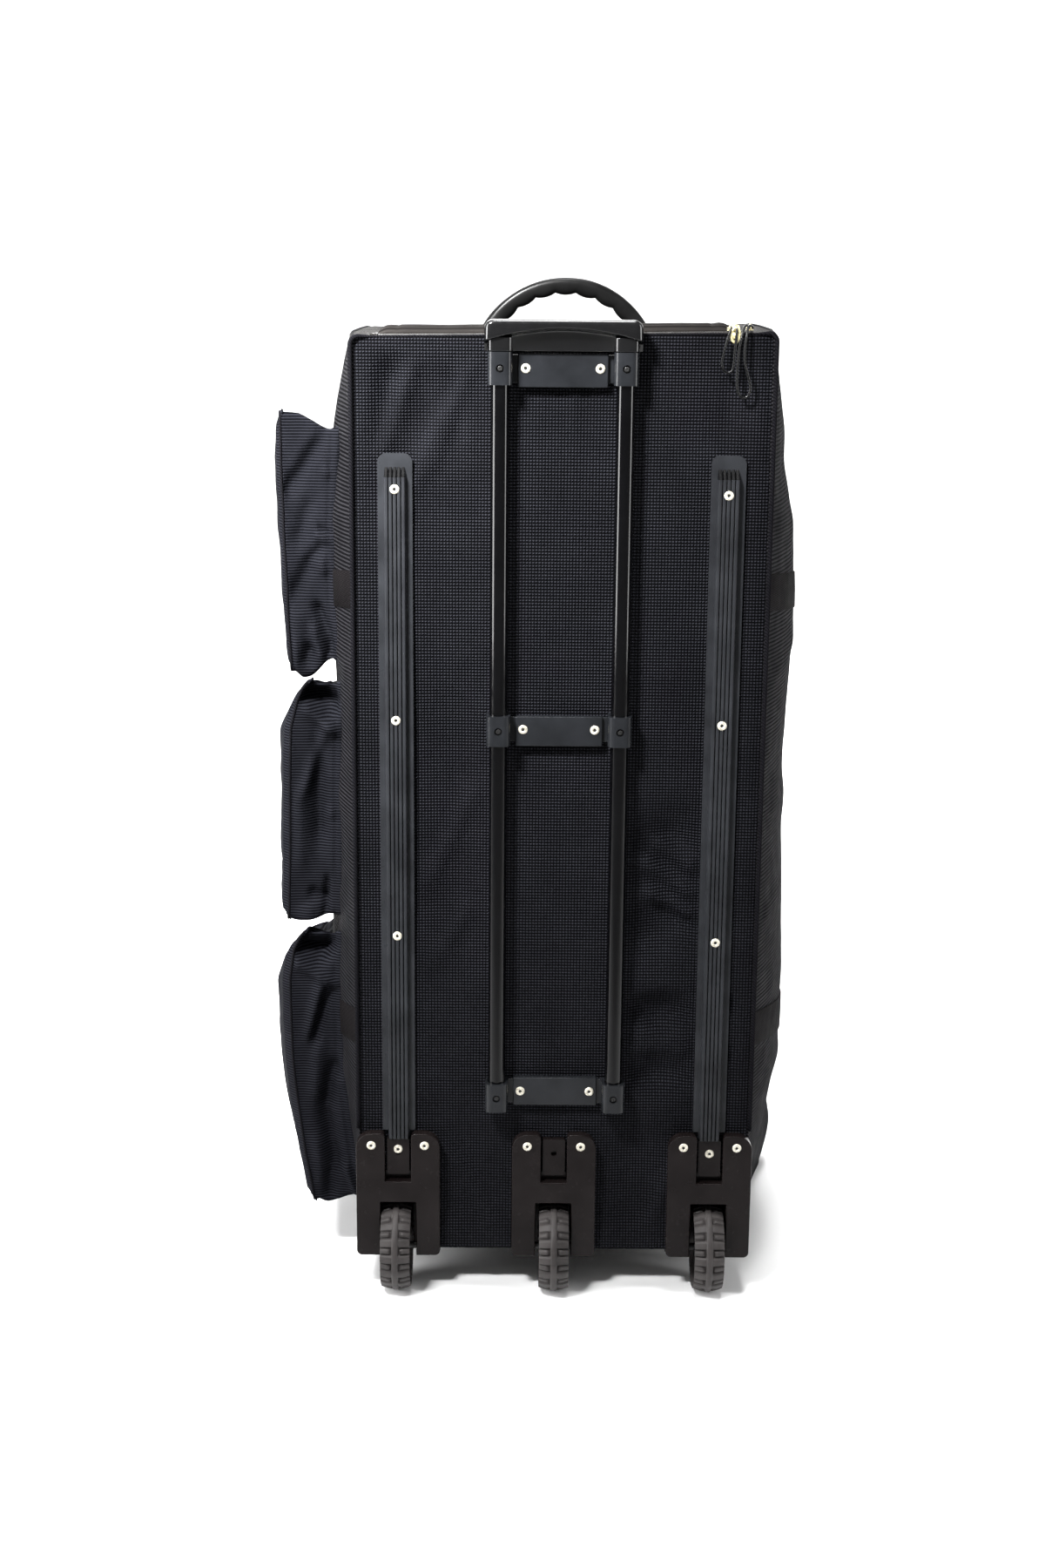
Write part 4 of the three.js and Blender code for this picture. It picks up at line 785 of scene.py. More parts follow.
# Folds of a pocket's near wall: from out, z to out, z, half width, height.
# out is measured from the side cloth.
POCKET_ROWS = [
    {
        "name": "upper_pocket", "low": 703, "high": 960, "seed": 1.7,
        "draw_up": 17, "draw_down": 20, "top_sag": 38, "crown": 6,
        "reach_z": [690, 790, 870, 975], "reach": [53.5, 51.5, 55.5, 65.5],
        "folds": [
            (56, 885, 18, 948, 9, -7), (50, 905, 24, 950, 8, 4), (15, 912, 7, 905, 4, 3.5),
            (42, 830, 26, 880, 8, -4), (17, 850, 2, 841, 3, -4.5), (20, 842, 4, 836, 4, 4.5),
            (30, 812, 12, 830, 5, -4.5), (16, 815, 10, 800, 5, 4.5), (46, 776, 26, 812, 8, -6),
            (20, 767, 8, 729, 6, -9), (8, 729, 10, 703, 5, -9), (39, 762, 47, 700, 12, 6),
            (31, 722, 39, 700, 7, -7), (25, 745, 20, 705, 6, 6),
        ],
    },
    {
        "name": "middle_pocket", "low": 414, "high": 686, "seed": 5.2,
        "draw_up": 3, "draw_down": 9, "top_sag": 58, "crown": 11,
        "reach_z": [400, 560, 629, 659, 672, 683, 690], "reach": [59, 57, 56, 49, 43, 34, 25],
        "folds": [
            (44, 654, 2, 623, 6, 8), (38, 676, 6, 650, 14, -24), (15, 635, 44, 552, 7, 7),
            (25, 622, 25, 497, 8, -9), (12, 540, 10, 528, 5, 3), (36, 443, 15, 435, 7, -6),
            (37, 428, 33, 412, 13, 6), (15, 460, 17, 412, 4, -7), (45, 560, 46, 470, 9, 4),
        ],
    },
    {
        "name": "lower_pocket", "low": 75, "high": 402, "seed": 8.4,
        "draw_up": 2, "draw_down": 12, "top_sag": 80, "crown": 13,
        "reach_z": [60, 130, 340, 352, 376, 389, 401, 405], "reach": [53, 58.5, 57.5, 56, 52.5, 46, 37, 31],
        "folds": [
            (56, 362, 17, 340, 6, 8), (17, 340, 2, 334, 5, 6), (46, 394, 14, 368, 15, -26),
            (19, 341, 40, 270, 7, 8), (14, 328, 34, 262, 6, -8), (10, 242, 28, 185, 8, -10),
            (28, 185, 26, 108, 9, -11), (25, 277, 38, 191, 9, 5), (16, 116, 1, 73, 5, 6),
            (33, 111, 38, 73, 6, -6), (14, 218, 1, 213, 4, 3.5), (43, 150, 45, 90, 8, 4),
        ],
    },
]


def pocket_reach(row, z):
    return np.interp(z, row["reach_z"], row["reach"])


def pocket_point(row, a, b, share, crown):
    """A point of a pocket over depth a and height b: share is 0 at the side cloth and 1 at the outer face."""
    up = (b - row["low"]) / (row["high"] - row["low"])
    deep = (a - POCKET_NEAR) / (POCKET_FAR - POCKET_NEAR)
    sag = row["top_sag"] * (1 - np.exp(-3.5 * deep)) * np.maximum(up, 0) ** 4 * (0.75 + 0.25 * share)
    lift = smoothstep(share, 0.1, 0.72) - 0.2 * hump(share, 0.18, 0.1)
    belly = smoothstep(share, 0.12, 0.62) - 0.45 * smoothstep(share, 0.74, 1.0)
    z = b - sag + row["draw_up"] * lift * up**3 - row["draw_down"] * belly * (1 - up) ** 3
    here = half_width(-1, a, z)
    near = half_width(-1, np.full_like(a, POCKET_NEAR), z)
    return -(here + (near - here) * 0.5 * share) - share * pocket_reach(row, b) - crown, a, z


def pocket_loop(row, inset, step=4.0):
    """A closed loop of depth and height round a pocket, with the way out of it at each point."""
    low, high = (POCKET_NEAR + inset, row["low"] + inset), (POCKET_FAR - inset, row["high"] - inset)
    line = [Vector(p) for p in oblong(low, high, POCKET_ROUND, POCKET_ROUND, 5)]
    loop = []
    for k, start in enumerate(line):
        end = line[(k + 1) % len(line)]
        count = max(1, round((end - start).length / step))
        way = (end - start).normalized()
        for i in range(count):
            loop.append((*(start + (end - start) * i / count), way.y, -way.x))
    return np.array(loop)


def add_pocket(row):
    rim = pocket_loop(row, 0.0)
    name, seed, low, high = row["name"], row["seed"], row["low"], row["high"]

    def gusset(u, v):
        a, b, out_a, out_b = rim[whole(u)].T
        pulled = 2.5 * np.sin(np.pi * v) + v
        depth_in = np.interp(v, [0, 0.06, 1], [-3, 0, 0])
        x, y, z = pocket_point(row, a - out_a * pulled, b - out_b * pulled, v * POCKET_RIM, depth_in)
        out = v * pocket_reach(row, b)
        near = smoothstep(-out_a, 0.3, 0.9)
        held = smoothstep(v, 0.0, 0.12) * (1 - smoothstep(v, 0.9, 1.0))
        swell = near * folds(row["folds"], out, z) + 1.1 * ripple(a + out, b - out, 30, seed)
        swell += (1 - near) * 3.0 * ripple(a + 2 * out, b + 2 * out, 42, seed + 2)
        swell = swell * held - 1.3 * hump(out, 6.5, 1.6)
        return x, y + out_a * swell, z + out_b * swell

    def face(u, v):
        a = POCKET_NEAR + 1 + u * (POCKET_FAR - POCKET_NEAR - 2)
        b = low + 1 + v * (high - low - 2)
        edge = least(a - POCKET_NEAR, POCKET_FAR - a, b - low, high - b)
        crown = row["crown"] * (0.6 * smoothstep(edge, 0, 14) + 0.4 * smoothstep(edge, 8, 60))
        wrinkle = 2.4 * ripple(a, b, 70, seed + 3) + 1.2 * ripple(a, b, 26, seed + 4)
        creases = [(100, low + 40, 220, low + 90, 14, -4), (180, high - 90, 300, high - 40, 14, -4)]
        wrinkle += folds(creases, a, b)
        share = POCKET_RIM + (1 - POCKET_RIM) * smoothstep(edge, 0, 8)
        return pocket_point(row, a, b, share, crown + wrinkle * smoothstep(edge, 3, 30))

    shape = Shape()
    shape.add(*grid(gusset, np.arange(len(rim)), np.linspace(0, 1, 27), closed=True, flip=True))
    shape.add(*grid(face, np.linspace(0, 1, 46), np.linspace(0, 1, 52), flip=True))
    thicken(make_piece(f"{name}_cloth", shape, "pocket_cloth", name), POCKET_WALL)
    a, b, *way = pocket_loop(row, 1.0).T
    line = np.stack(pocket_point(row, a, b, np.full_like(a, 0.985), 0.5), axis=1)
    piping = Shape().add(*tube(line.tolist(), POCKET_PIPING, 8, closed=True))
    make_piece(f"{name}_piping", piping, "piping")


# Webbing. Its section is a share of its width and a height over the cloth.
STRAP_OUT = 1.5
STRAP_EDGE = [(0, 0.2), (0, STRAP_OUT - 0.5), (0.012, STRAP_OUT)]
STRAP_SECTION = np.array(
    [*STRAP_EDGE, (0.5, STRAP_OUT + 0.15), *((1 - share, lift) for share, lift in STRAP_EDGE[::-1])]
)


def strap_shape(row, ways, depths, spans, flip=False):
    """A flat band. Each station has its way out in X, its depth and its share across the bag."""
    def surface(u, v):
        way, depth, span = ways[whole(u)], depths[whole(u)], spans[whole(u)]
        share, lift = STRAP_SECTION[whole(v)].T
        z = row["low"] + share * (row["high"] - row["low"]) - row["fall"] * depth
        turn = 0.7 * smoothstep(depth, BODY_DEPTH - 26, BODY_DEPTH)
        x = across(span, depth, z) + way * lift * np.cos(turn)
        return x, depth + front_bow(span, z) + lift * np.where(way == 0, 1, np.sin(turn)), z

    return Shape().add(*grid(surface, np.arange(len(ways)), np.arange(len(STRAP_SECTION)), flip=flip))


def add_straps():
    side_y = np.linspace(1.0, BODY_DEPTH, 60)
    front_span = np.linspace(1, 0, 70)[1:-1]
    back_y = np.linspace(BODY_DEPTH, POCKET_FAR + 3, 16)
    stub_y = np.linspace(1.0, POCKET_NEAR + 2, 16)
    ways = np.repeat([1, 0, -1], [len(side_y), len(front_span), len(back_y)])
    depths = np.concatenate([side_y, np.full_like(front_span, BODY_DEPTH), back_y])
    spans = np.concatenate([np.ones_like(side_y), front_span, np.zeros_like(back_y)])
    for row in STRAP_ROWS:
        name = row["name"]
        make_piece(f"{name}_webbing", strap_shape(row, ways, depths, spans), "webbing", name)
        stub = strap_shape(row, np.full(len(stub_y), -1), stub_y, np.zeros_like(stub_y), True)
        make_piece(f"{name}_stub_webbing", stub, "webbing", f"{name}_stub")


# Top end: flap, zip, sliders, pulls and grab handle
FLAP_X, FLAP_Y, FLAP_RISE = (-190.0, 173.0), (10.5, 112.0), 12.0
ZIP_X, ZIP_Y, ZIP_TURN = (-196.0, 192.0), (6.6, 114.0), 12.0
TOOTH_STEP, TOOTH_SHIFT = 1.3, 0.7
TAPE_STEP, TAPE_HALF, TAPE_UP = 6.0, 3.6, 0.4
# Rings of a zip tooth: height, half its length along the zip, half its width across it
TOOTH_RINGS = [(0.2, 0.62, 1.9), (1.5, 0.5, 1.6), (1.9, 0.25, 1.2)]


def quarter_round(edge, wide):
    return np.sqrt(1 - (1 - np.clip(edge / wide, 0, 1)) ** 2)


def add_flap():
    def surface(u, v):
        x = FLAP_X[0] + u * (FLAP_X[1] - FLAP_X[0])
        y = FLAP_Y[0] + v * (FLAP_Y[1] - FLAP_Y[0])
        edge_x = np.minimum(x - FLAP_X[0], FLAP_X[1] - x)
        edge_y = np.minimum(y - FLAP_Y[0], FLAP_Y[1] - y)
        dome = quarter_round(edge_x, 14) * quarter_round(edge_y, 10)
        seam = 1.2 * hump(edge_x, 20, 2.2) + 0.9 * hump(edge_y, 7, 1.6)
        return x, y, top_height(x, y) - 0.5 + (FLAP_RISE - seam + 0.8 * ripple(x, y, 40, 3.9)) * dome

    shape = Shape().add(*grid(surface, shares(96, 0.006), shares(30, 0.03)))
    thicken(make_piece("top_flap_cloth", shape, "end_cloth", "top_flap"), CLOTH)


def top_at(x, y):
    return float(top_height(x, y))


def zip_line(step):
    """Points along the zip, as x, y and the way across in x and y."""
    corners = [(ZIP_X[0], ZIP_Y[1], 0), (ZIP_X[0], ZIP_Y[0], ZIP_TURN)]
    corners += [(ZIP_X[1], ZIP_Y[0], ZIP_TURN), (ZIP_X[1], ZIP_Y[1], 0)]
    line = [Vector(p) for p in rounded(corners, 8)]
    dots = []
    left_over = 0.0
    for start, end in zip(line, line[1:]):
        run = (end - start).length
        way = (end - start) / run
        at = left_over
        while at < run:
            here = start + way * at
            dots.append((here.x, here.y, -way.y, way.x))
            at += step
        left_over = at - run
    return dots


def add_zip():
    shape = Shape()
    shift = TOOTH_SHIFT
    for x, y, side_x, side_y in zip_line(TOOTH_STEP):
        shift = -shift
        low = top_at(x, y)
        rings = []
        for level, half, width in TOOTH_RINGS:
            ring = []
            for along, aside in ((-half, -width), (half, -width), (half, width), (-half, width)):
                out = shift + aside
                here = (x + side_x * out + side_y * along, y + side_y * out - side_x * along)
                ring.append((*here, low + level))
            rings.append(ring)
        shape.add(*loft(rings))
    tape = []
    for x, y, side_x, side_y in zip_line(TAPE_STEP):
        z = top_at(x, y) + TAPE_UP
        tape += [(x + side_x * aside, y + side_y * aside, z) for aside in (-TAPE_HALF, TAPE_HALF)]
    shape.add(tape, [(k, k + 1, k + 3, k + 2) for k in range(0, len(tape) - 2, 2)])
    make_piece("top_zip_teeth", shape, "zip", "top_zip", smooth=False)


SLIDER_ROWS = [
    {"name": "near_slider", "x": 173.0, "y": 6.6, "turn": 0.0},
    {"name": "far_slider", "x": 192.0, "y": 27.0, "turn": 90.0},
]
SLIDER_UP = 2.5
# Half of a slider's plan: along, across, radius
SLIDER_PLAN = [(-6.5, -2.3, 0.8), (3.2, -4.2, 1.2), (6.6, -2.2, 1)]
SLIDER_CORE = [(-5, -0.8), (4, -0.8), (4, 0.8), (-5, 0.8)]
# The near slider's puller: a ring, two lumps over it and a hook back to the slider
RING_X, RING_Y, RING_Z, RING_WIDE, RING_TALL = 174.0, -7.0, 1057.5, 4.2, 7.0
LUMP = [(169.5, 1061.5, 1.5), (178.5, 1061.5, 1.5), (177.5, 1068, 2), (170.5, 1068, 2)]
LUMP_DROP = 7.5
HOOK = [(174, -6.8, 1063.6), (174, -4.5, 1066.4), (174, 0.5, 1067.2), (174, 5.0, 1067.4)]


def add_sliders():
    plan = rounded(SLIDER_PLAN + [(a, -b, r) for a, b, r in SLIDER_PLAN[::-1]], 4)
    for row in SLIDER_ROWS:
        low = top_at(row["x"], row["y"]) + SLIDER_UP
        turn = math.radians(row["turn"])

        def place(a, b, level):
            x = row["x"] + a * math.cos(turn) - b * math.sin(turn)
            y = row["y"] + a * math.sin(turn) + b * math.cos(turn)
            return (x, y, low + level)

        shape = Shape()
        for outline, bottom, top in ((plan, 0, 1.1), (plan, 1.9, 3.0), (SLIDER_CORE, 0.9, 2.1)):
            shape.add(*prism(outline, place, bottom, top))
        arc = [(-4.4 + 8.8 * k / 12, 0, 2.8 + 3.2 * math.sin(math.pi * k / 12) ** 0.7) for k in range(13)]
        shape.add(*tube([place(*p) for p in arc], 1.0, 8))
        soften(make_piece(f"{row['name']}_body", shape, "slider_metal", row["name"]), 0.3, 2)
    turns = [2 * math.pi * k / 28 for k in range(28)]
    ring = [(RING_X + RING_WIDE * math.cos(t), RING_Y, RING_Z + RING_TALL * math.sin(t)) for t in turns]
    puller = Shape().add(*tube(ring, 1.7, 10, closed=True))
    puller.add(*prism(rounded(LUMP, 4), from_panel, 3.6, 7.6))
    puller.add(*prism(rounded([(x, z - LUMP_DROP, r) for x, z, r in LUMP], 4), from_panel, 6.0, 8.2))
    puller.add(*tube(smooth_line(HOOK, 4), 1.2, 8))
    make_piece("near_slider_puller", puller, "slider_metal")


# Each pull is one cord that leaves its slider, hangs over the panel's edge and comes back.
PULL_RADIUS = 1.3
PULL_ROUTES = {
    "near_pull": [
        (172.6, 1.9, 1064.6), (170.6, -4.5, 1066), (168.4, -8.6, 1062), (164.8, -9.8, 1050),
        (162, -9.8, 1038), (160.6, -9.8, 1030), (162.4, -9.8, 1023), (167, -9.8, 1020.2),
        (171.4, -9.8, 1023), (173, -9.8, 1030), (173.4, -9.8, 1038), (174.2, -9.8, 1050),
        (175, -8.6, 1062), (175.8, -4.5, 1066), (176.4, 1.5, 1064.6),
    ],
    "far_pull": [
        (190.4, 18.2, 1064.4), (188.6, 9, 1066.2), (185.4, 0, 1067), (182.4, -5.5, 1064.6),
        (180, -9.4, 1056), (177.8, -9.8, 1043), (176.8, -9.8, 1030), (176.4, -9.8, 1018),
        (176.8, -9.8, 1007), (179, -9.8, 998.4), (184, -9.8, 995.2), (189, -9.8, 998.4),
        (190.4, -9.8, 1007), (187.4, -9.8, 1018), (184.2, -9.8, 1030), (183.6, -9.8, 1043),
        (184.8, -9.4, 1056), (186.6, -5.5, 1064.6), (189.2, 0, 1067), (192, 9, 1066.2),
        (193.6, 18.2, 1064.4),
    ],
}


def add_pulls():
    for name, route in PULL_ROUTES.items():
        line = [Vector(p) * MM + Vector(HOME) for p in smooth_line(route, 6)]
        data = bpy.data.curves.new(f"{name}_cord", "CURVE")
        data.dimensions = "3D"
        data.bevel_depth = PULL_RADIUS * MM
        data.bevel_resolution = 4
        data.use_fill_caps = True
        spline = data.splines.new("POLY")
        spline.points.add(len(line) - 1)
        for dot, at in zip(spline.points, line):
            dot.co = (*at, 1)
        spline.use_smooth = True
        data.materials.append(MATERIALS["cord"])
        piece = link(f"{name}_cord", data)
        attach(piece, "bag")
        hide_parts(name)


HANDLE_X, HANDLE_Y, HANDLE_TOP = 5.0, 190.0, 1112.0
HANDLE_HALF, HANDLE_RISE = 96.0, 62.0
HANDLE_WIDE, HANDLE_THICK = 24.0, 16.0
FINGER_WAVES, FINGER_DEPTH = 7, 3.2


def add_grab_handle():
    radius = (HANDLE_HALF**2 + HANDLE_RISE**2) / (2 * HANDLE_RISE) - HANDLE_THICK / 2
    spread = math.asin(HANDLE_HALF / (radius + HANDLE_THICK / 2))
    centre = HANDLE_TOP - HANDLE_THICK / 2 - radius

    def squared(wave, power, size):
        return np.sign(wave) * np.abs(wave) ** power * size / 2

    def surface(u, v):
        turn = spread * (2 * v - 1)
        around = 2 * np.pi * u
        span = np.clip((v - 0.12) / 0.76, 0, 1)
        wave = np.abs(np.sin(FINGER_WAVES * np.pi * span)) ** 0.7
        side = squared(np.cos(around), 0.6, HANDLE_WIDE)
        lift = squared(np.sin(around), 0.7, HANDLE_THICK)
        out = radius + lift - FINGER_DEPTH * wave * np.clip(-lift / 8, 0, 1)
        return HANDLE_X + out * np.sin(turn), HANDLE_Y + side, centre + out * np.cos(turn)

    shape = Shape().add(*grid(surface, np.arange(40) / 40, np.linspace(0, 1, 161), closed=True, flip=True))
    make_piece("grab_handle_grip", shape, "soft_grip", "grab_handle")


# Trolley: tubes, brackets and grip
TUBE_X, TUBE_OUT, TUBE_EDGE = 64.0, 14.0, 0.5
# Tubes: kind, low end, high end, radius, bore, body
TUBE_ROWS = [
    ("outer", 223.0, 1038.0, 9.5, 8.2, "bag"),
    ("inner", 240.0, 1040.1, 7.6, 6.4, "trolley"),
]
BRACKET_ROWS = [
    {"name": "top_bracket", "low": 1007, "high": 1040, "plate_low": 1004, "plate_high": 1038},
    {"name": "middle_bracket", "low": 633, "high": 665, "plate_low": 630, "plate_high": 662},
    {"name": "bottom_bracket", "low": 222, "high": 254, "plate_low": 224, "plate_high": 256},
]
CLAMP_HALF, CLAMP_OUT, CLAMP_ROUND, CLAMP_BORE = 12.5, 27.0, 7.5, 9.7
PLATE_HALF, PLATE_OUT, WEB_OUT = 46.0, 9.0, 4.5
SCREW_RADIUS, SCREW_FLOOR = 4.2, CLAMP_OUT - 3.0
SCREW_HEAD = [(0.001, 0), (3.3, 0), (3.3, 0.8), (2.4, 1.5), (0.001, 1.7)]
SLOT_LONG, SLOT_THIN, SLOT_LOW, SLOT_HIGH = 1.7, 0.35, 1.2, 1.9


def upright(x):
    """A place on the axis of a trolley tube."""
    return lambda a, b, level: (x + a, b - TUBE_OUT, level)


def add_tubes():
    for side, x in (("left", -TUBE_X), ("right", TUBE_X)):
        for kind, low, high, radius, bore, body in TUBE_ROWS:
            profile = [(bore, low), (radius - TUBE_EDGE, low), (radius, low + TUBE_EDGE)]
            profile += [(radius, high - TUBE_EDGE), (radius - TUBE_EDGE, high), (bore, high)]
            shape = Shape().add(*lathe(profile, 48, upright(x)))
            node = f"{side}_{kind}_tube"
            crease(make_piece(f"{node}_gloss", shape, "tube_black", node, body), 40)


def add_brackets():
    for row in BRACKET_ROWS:
        name, low, high = row["name"], row["low"], row["high"]
        middle = (low + high) / 2
        clamps, cutter, plate, screws, slots = (Shape() for k in range(5))
        for x in (-TUBE_X, TUBE_X):
            plan = oblong((x - CLAMP_HALF, GAP), (x + CLAMP_HALF, CLAMP_OUT), 0.5, CLAMP_ROUND, 8)
            clamps.add(*prism(plan, from_floor, low, high))
            cutter.add(*lathe(rod(SCREW_RADIUS, SCREW_FLOOR, CLAMP_OUT + 4), 32, facing(x, middle)))
            cutter.add(*lathe(rod(CLAMP_BORE, low - 5, high + 5), 48, upright(x)))
            screws.add(*lathe(SCREW_HEAD, 24, facing(x, middle, SCREW_FLOOR)))
            # The slots are near-black crosses standing on each screw head: painted shade for the slots'
            # depth.
            for wide, tall in ((SLOT_LONG, SLOT_THIN), (SLOT_THIN, SLOT_LONG)):
                slot = oblong((x - wide, middle - tall), (x + wide, middle + tall))
                slots.add(*prism(slot, from_panel, SCREW_FLOOR + SLOT_LOW, SCREW_FLOOR + SLOT_HIGH))
        piece = make_piece(f"{name}_clamps", clamps, "bracket_plastic", name)
        carve(piece, cutter)
        soften(piece, 0.8)
        outline = oblong((-PLATE_HALF, row["plate_low"]), (PLATE_HALF, row["plate_high"]), 1.5, 1.5, 4)
        plate.add(*prism(outline, from_panel, GAP, PLATE_OUT))
        edge = TUBE_X - CLAMP_HALF + 1
        web = oblong((-edge, max(low, row["plate_low"]) + 1), (edge, min(high, row["plate_high"]) - 1))
        plate.add(*prism(web, from_panel, GAP, WEB_OUT))
        soften(make_piece(f"{name}_plate", plate, "bracket_plastic"), 1.2)
        make_piece(f"{name}_screws", screws, "hub_plastic")
        # The slots' near-black fill is painted shade.
        make_piece(f"{name}_screw_slots", slots, "painted_hole_shade", smooth=False)


GRIP_HALF, GRIP_LOW, GRIP_HIGH = 80.0, 1040.4, 1072.0
GRIP_BACK, GRIP_OUT, GRIP_ROUND = 8.0, 31.0, 9.0
GRIP_PLAN_ROUND = 7.0
SCOOP_SIDE, SCOOP_CROWN, SCOOP_BACK = 1051.0, 1064.0, 14.0
LEG_HALF, LEG_OUT = 12.0, 27.0
# Distances from the grip's middle where it is cut across
GRIP_CUTS = [0, 12, 24, 36, 46, 54, 60, 65, 69, 71, 72.5, 74, 75.5, 77, 78.2, 79.2, 79.8, GRIP_HALF]


def fall_off(past, radius):
    """How far a quarter round of this radius has fallen away."""
    return radius - math.sqrt(max(0.0, radius**2 - max(0.0, past) ** 2))


def grip_ring(x):
    """The outline of the grip's bar, cut across at x."""
    top = GRIP_HIGH - fall_off(abs(x) - GRIP_HALF + GRIP_ROUND, GRIP_ROUND)
    face = GRIP_OUT - fall_off(abs(x) - GRIP_HALF + GRIP_PLAN_ROUND, GRIP_PLAN_ROUND)
    lower = SCOOP_SIDE + (SCOOP_CROWN - SCOOP_SIDE) * (1 - (x / GRIP_HALF) ** 2)
    corners = [
        (GRIP_BACK, GRIP_LOW, 1.5), (GRIP_BACK, top, 3), (face, top, 4.5), (face, lower, 1.8),
        (SCOOP_BACK + 5, lower - 3, 3), (SCOOP_BACK, GRIP_LOW, 1),
    ]
    return [(x, -out, z) for out, z in rounded(corners, 5)]


def add_grip():
    cuts = [-x for x in GRIP_CUTS[:0:-1]] + GRIP_CUTS
    bar = Shape().add(*loft([grip_ring(x) for x in cuts]))
    crease(make_piece("trolley_grip_bar", bar, "gloss_plastic", "trolley_grip", "trolley"), 50)
    legs = Shape()
    for x in (-TUBE_X, TUBE_X):
        plan = oblong((x - LEG_HALF, GRIP_BACK + 1), (x + LEG_HALF, LEG_OUT), 2, 5)
        legs.add(*prism(plan, from_floor, GRIP_LOW, SCOOP_SIDE + 4))
    soften(make_piece("trolley_grip_legs", legs, "gloss_plastic", body="trolley"), 1.2)


# Skid rails
RAIL_X, RAIL_LOW, RAIL_HIGH = 172.0, 183.5, 922.0
RAIL_HALF, RAIL_OUT = 12.0, 11.0
FLANGE_HALF, FLANGE_LOW, FLANGE_HIGH, FLANGE_OUT = 18.0, 191.0, 936.0, 3.0
RAMP_LONG, RAMP_STEPS, RAMP_END_OUT = 10.0, 8, 3.2
RAIL_RIDGES, RAIL_GROOVE = (-8.8, -4.4, 0.0, 4.4, 8.8), 2.8
RIDGE_FOOT, RIDGE_TOP = 2.1, 1.4


def add_rails():
    section = [(-RAIL_HALF, GAP, 0)]
    for ridge in RAIL_RIDGES:
        section += [(ridge - RIDGE_FOOT, RAIL_OUT - RAIL_GROOVE, 0.3), (ridge - RIDGE_TOP, RAIL_OUT, 0.6)]
        section += [(ridge + RIDGE_TOP, RAIL_OUT, 0.6), (ridge + RIDGE_FOOT, RAIL_OUT - RAIL_GROOVE, 0.3)]
    line = np.array(rounded(section + [(RAIL_HALF, GAP, 0)], 3))
    count = len(line)
    ramp_low = RAIL_HIGH - RAMP_LONG
    heights = [RAIL_LOW, RAIL_LOW + 0.8, *np.linspace(RAIL_LOW + 40, ramp_low, 12)]
    for name, x in (("left_skid_rail", -RAIL_X), ("right_skid_rail", RAIL_X)):
        def surface(u, v):
            a, out = line[whole(u)].T
            fall = np.clip((v - ramp_low) / RAMP_LONG, 0, 1) * (RAIL_OUT - RAMP_END_OUT)
            return x + a, -np.maximum(out - fall, GAP), v

        shape = Shape().add(*grid(surface, np.arange(count), heights))
        shape.faces.append(tuple(range(count))[::-1])
        # The ramp is part of the same moulding but takes the darker, glossier grip plastic: painted shade
        # that keeps its upturned flutes dark under the lights.
        ramp = Shape().add(*grid(surface, np.arange(count), np.linspace(ramp_low, RAIL_HIGH, RAMP_STEPS + 1)))
        ramp.faces.append(tuple(range(RAMP_STEPS * count, (RAMP_STEPS + 1) * count)))
        soften(make_piece(f"{name}_ramp", ramp, "gloss_plastic"), 0.5, 2)
        flange = oblong((x - FLANGE_HALF, FLANGE_LOW), (x + FLANGE_HALF, FLANGE_HIGH), 1, 9, 10)
        shape.add(*prism(flange, from_panel, GAP, FLANGE_OUT))
        soften(make_piece(f"{name}_moulding", shape, "satin_plastic", name), 0.7, 2)


# Wheels and housings
WHEEL_Y, WHEEL_RADIUS = 3.0, 50.0
HOUSING_HALF, HOUSING_LOW, HOUSING_HIGH, HOUSING_OUT = 46.5, 44.4, 190.0, 13.0
WELL_HALF, WELL_WALL, WELL_HIGH, WELL_DEEP = 20.0, 2.6, 108.5, 59.5
WELL_SIDE_LOW, WELL_BACK_LOW = 40.0, 22.0
LEDGE_DEEP, LEDGE_THICK = 66.0, 3.2
CHANNEL_HALF, CHANNEL_LOW = 14.5, 133.0
TAB_HALF, TAB_HIGH, TAB_OUT, TAB_HOLE_Z, TAB_HOLE = 12.4, 182.5, 7.0, 166.0, 3.2
HOUSING_CORNERS = mirrored([
    (CHANNEL_HALF, CHANNEL_LOW, 1), (CHANNEL_HALF, HOUSING_HIGH, 5), (HOUSING_HALF, HOUSING_HIGH, 17),
    (HOUSING_HALF, HOUSING_LOW, 6), (WELL_HALF, HOUSING_LOW, 1), (WELL_HALF, WELL_HIGH, 1.5),
])
WELL_REACH, WELL_ROOF = WELL_HALF + WELL_WALL, WELL_HIGH + WELL_WALL
WELL_ARCH = mirrored([
    (WELL_REACH, WELL_ROOF), (WELL_REACH, WELL_SIDE_LOW), (WELL_HALF, WELL_SIDE_LOW), (WELL_HALF, WELL_HIGH),
])


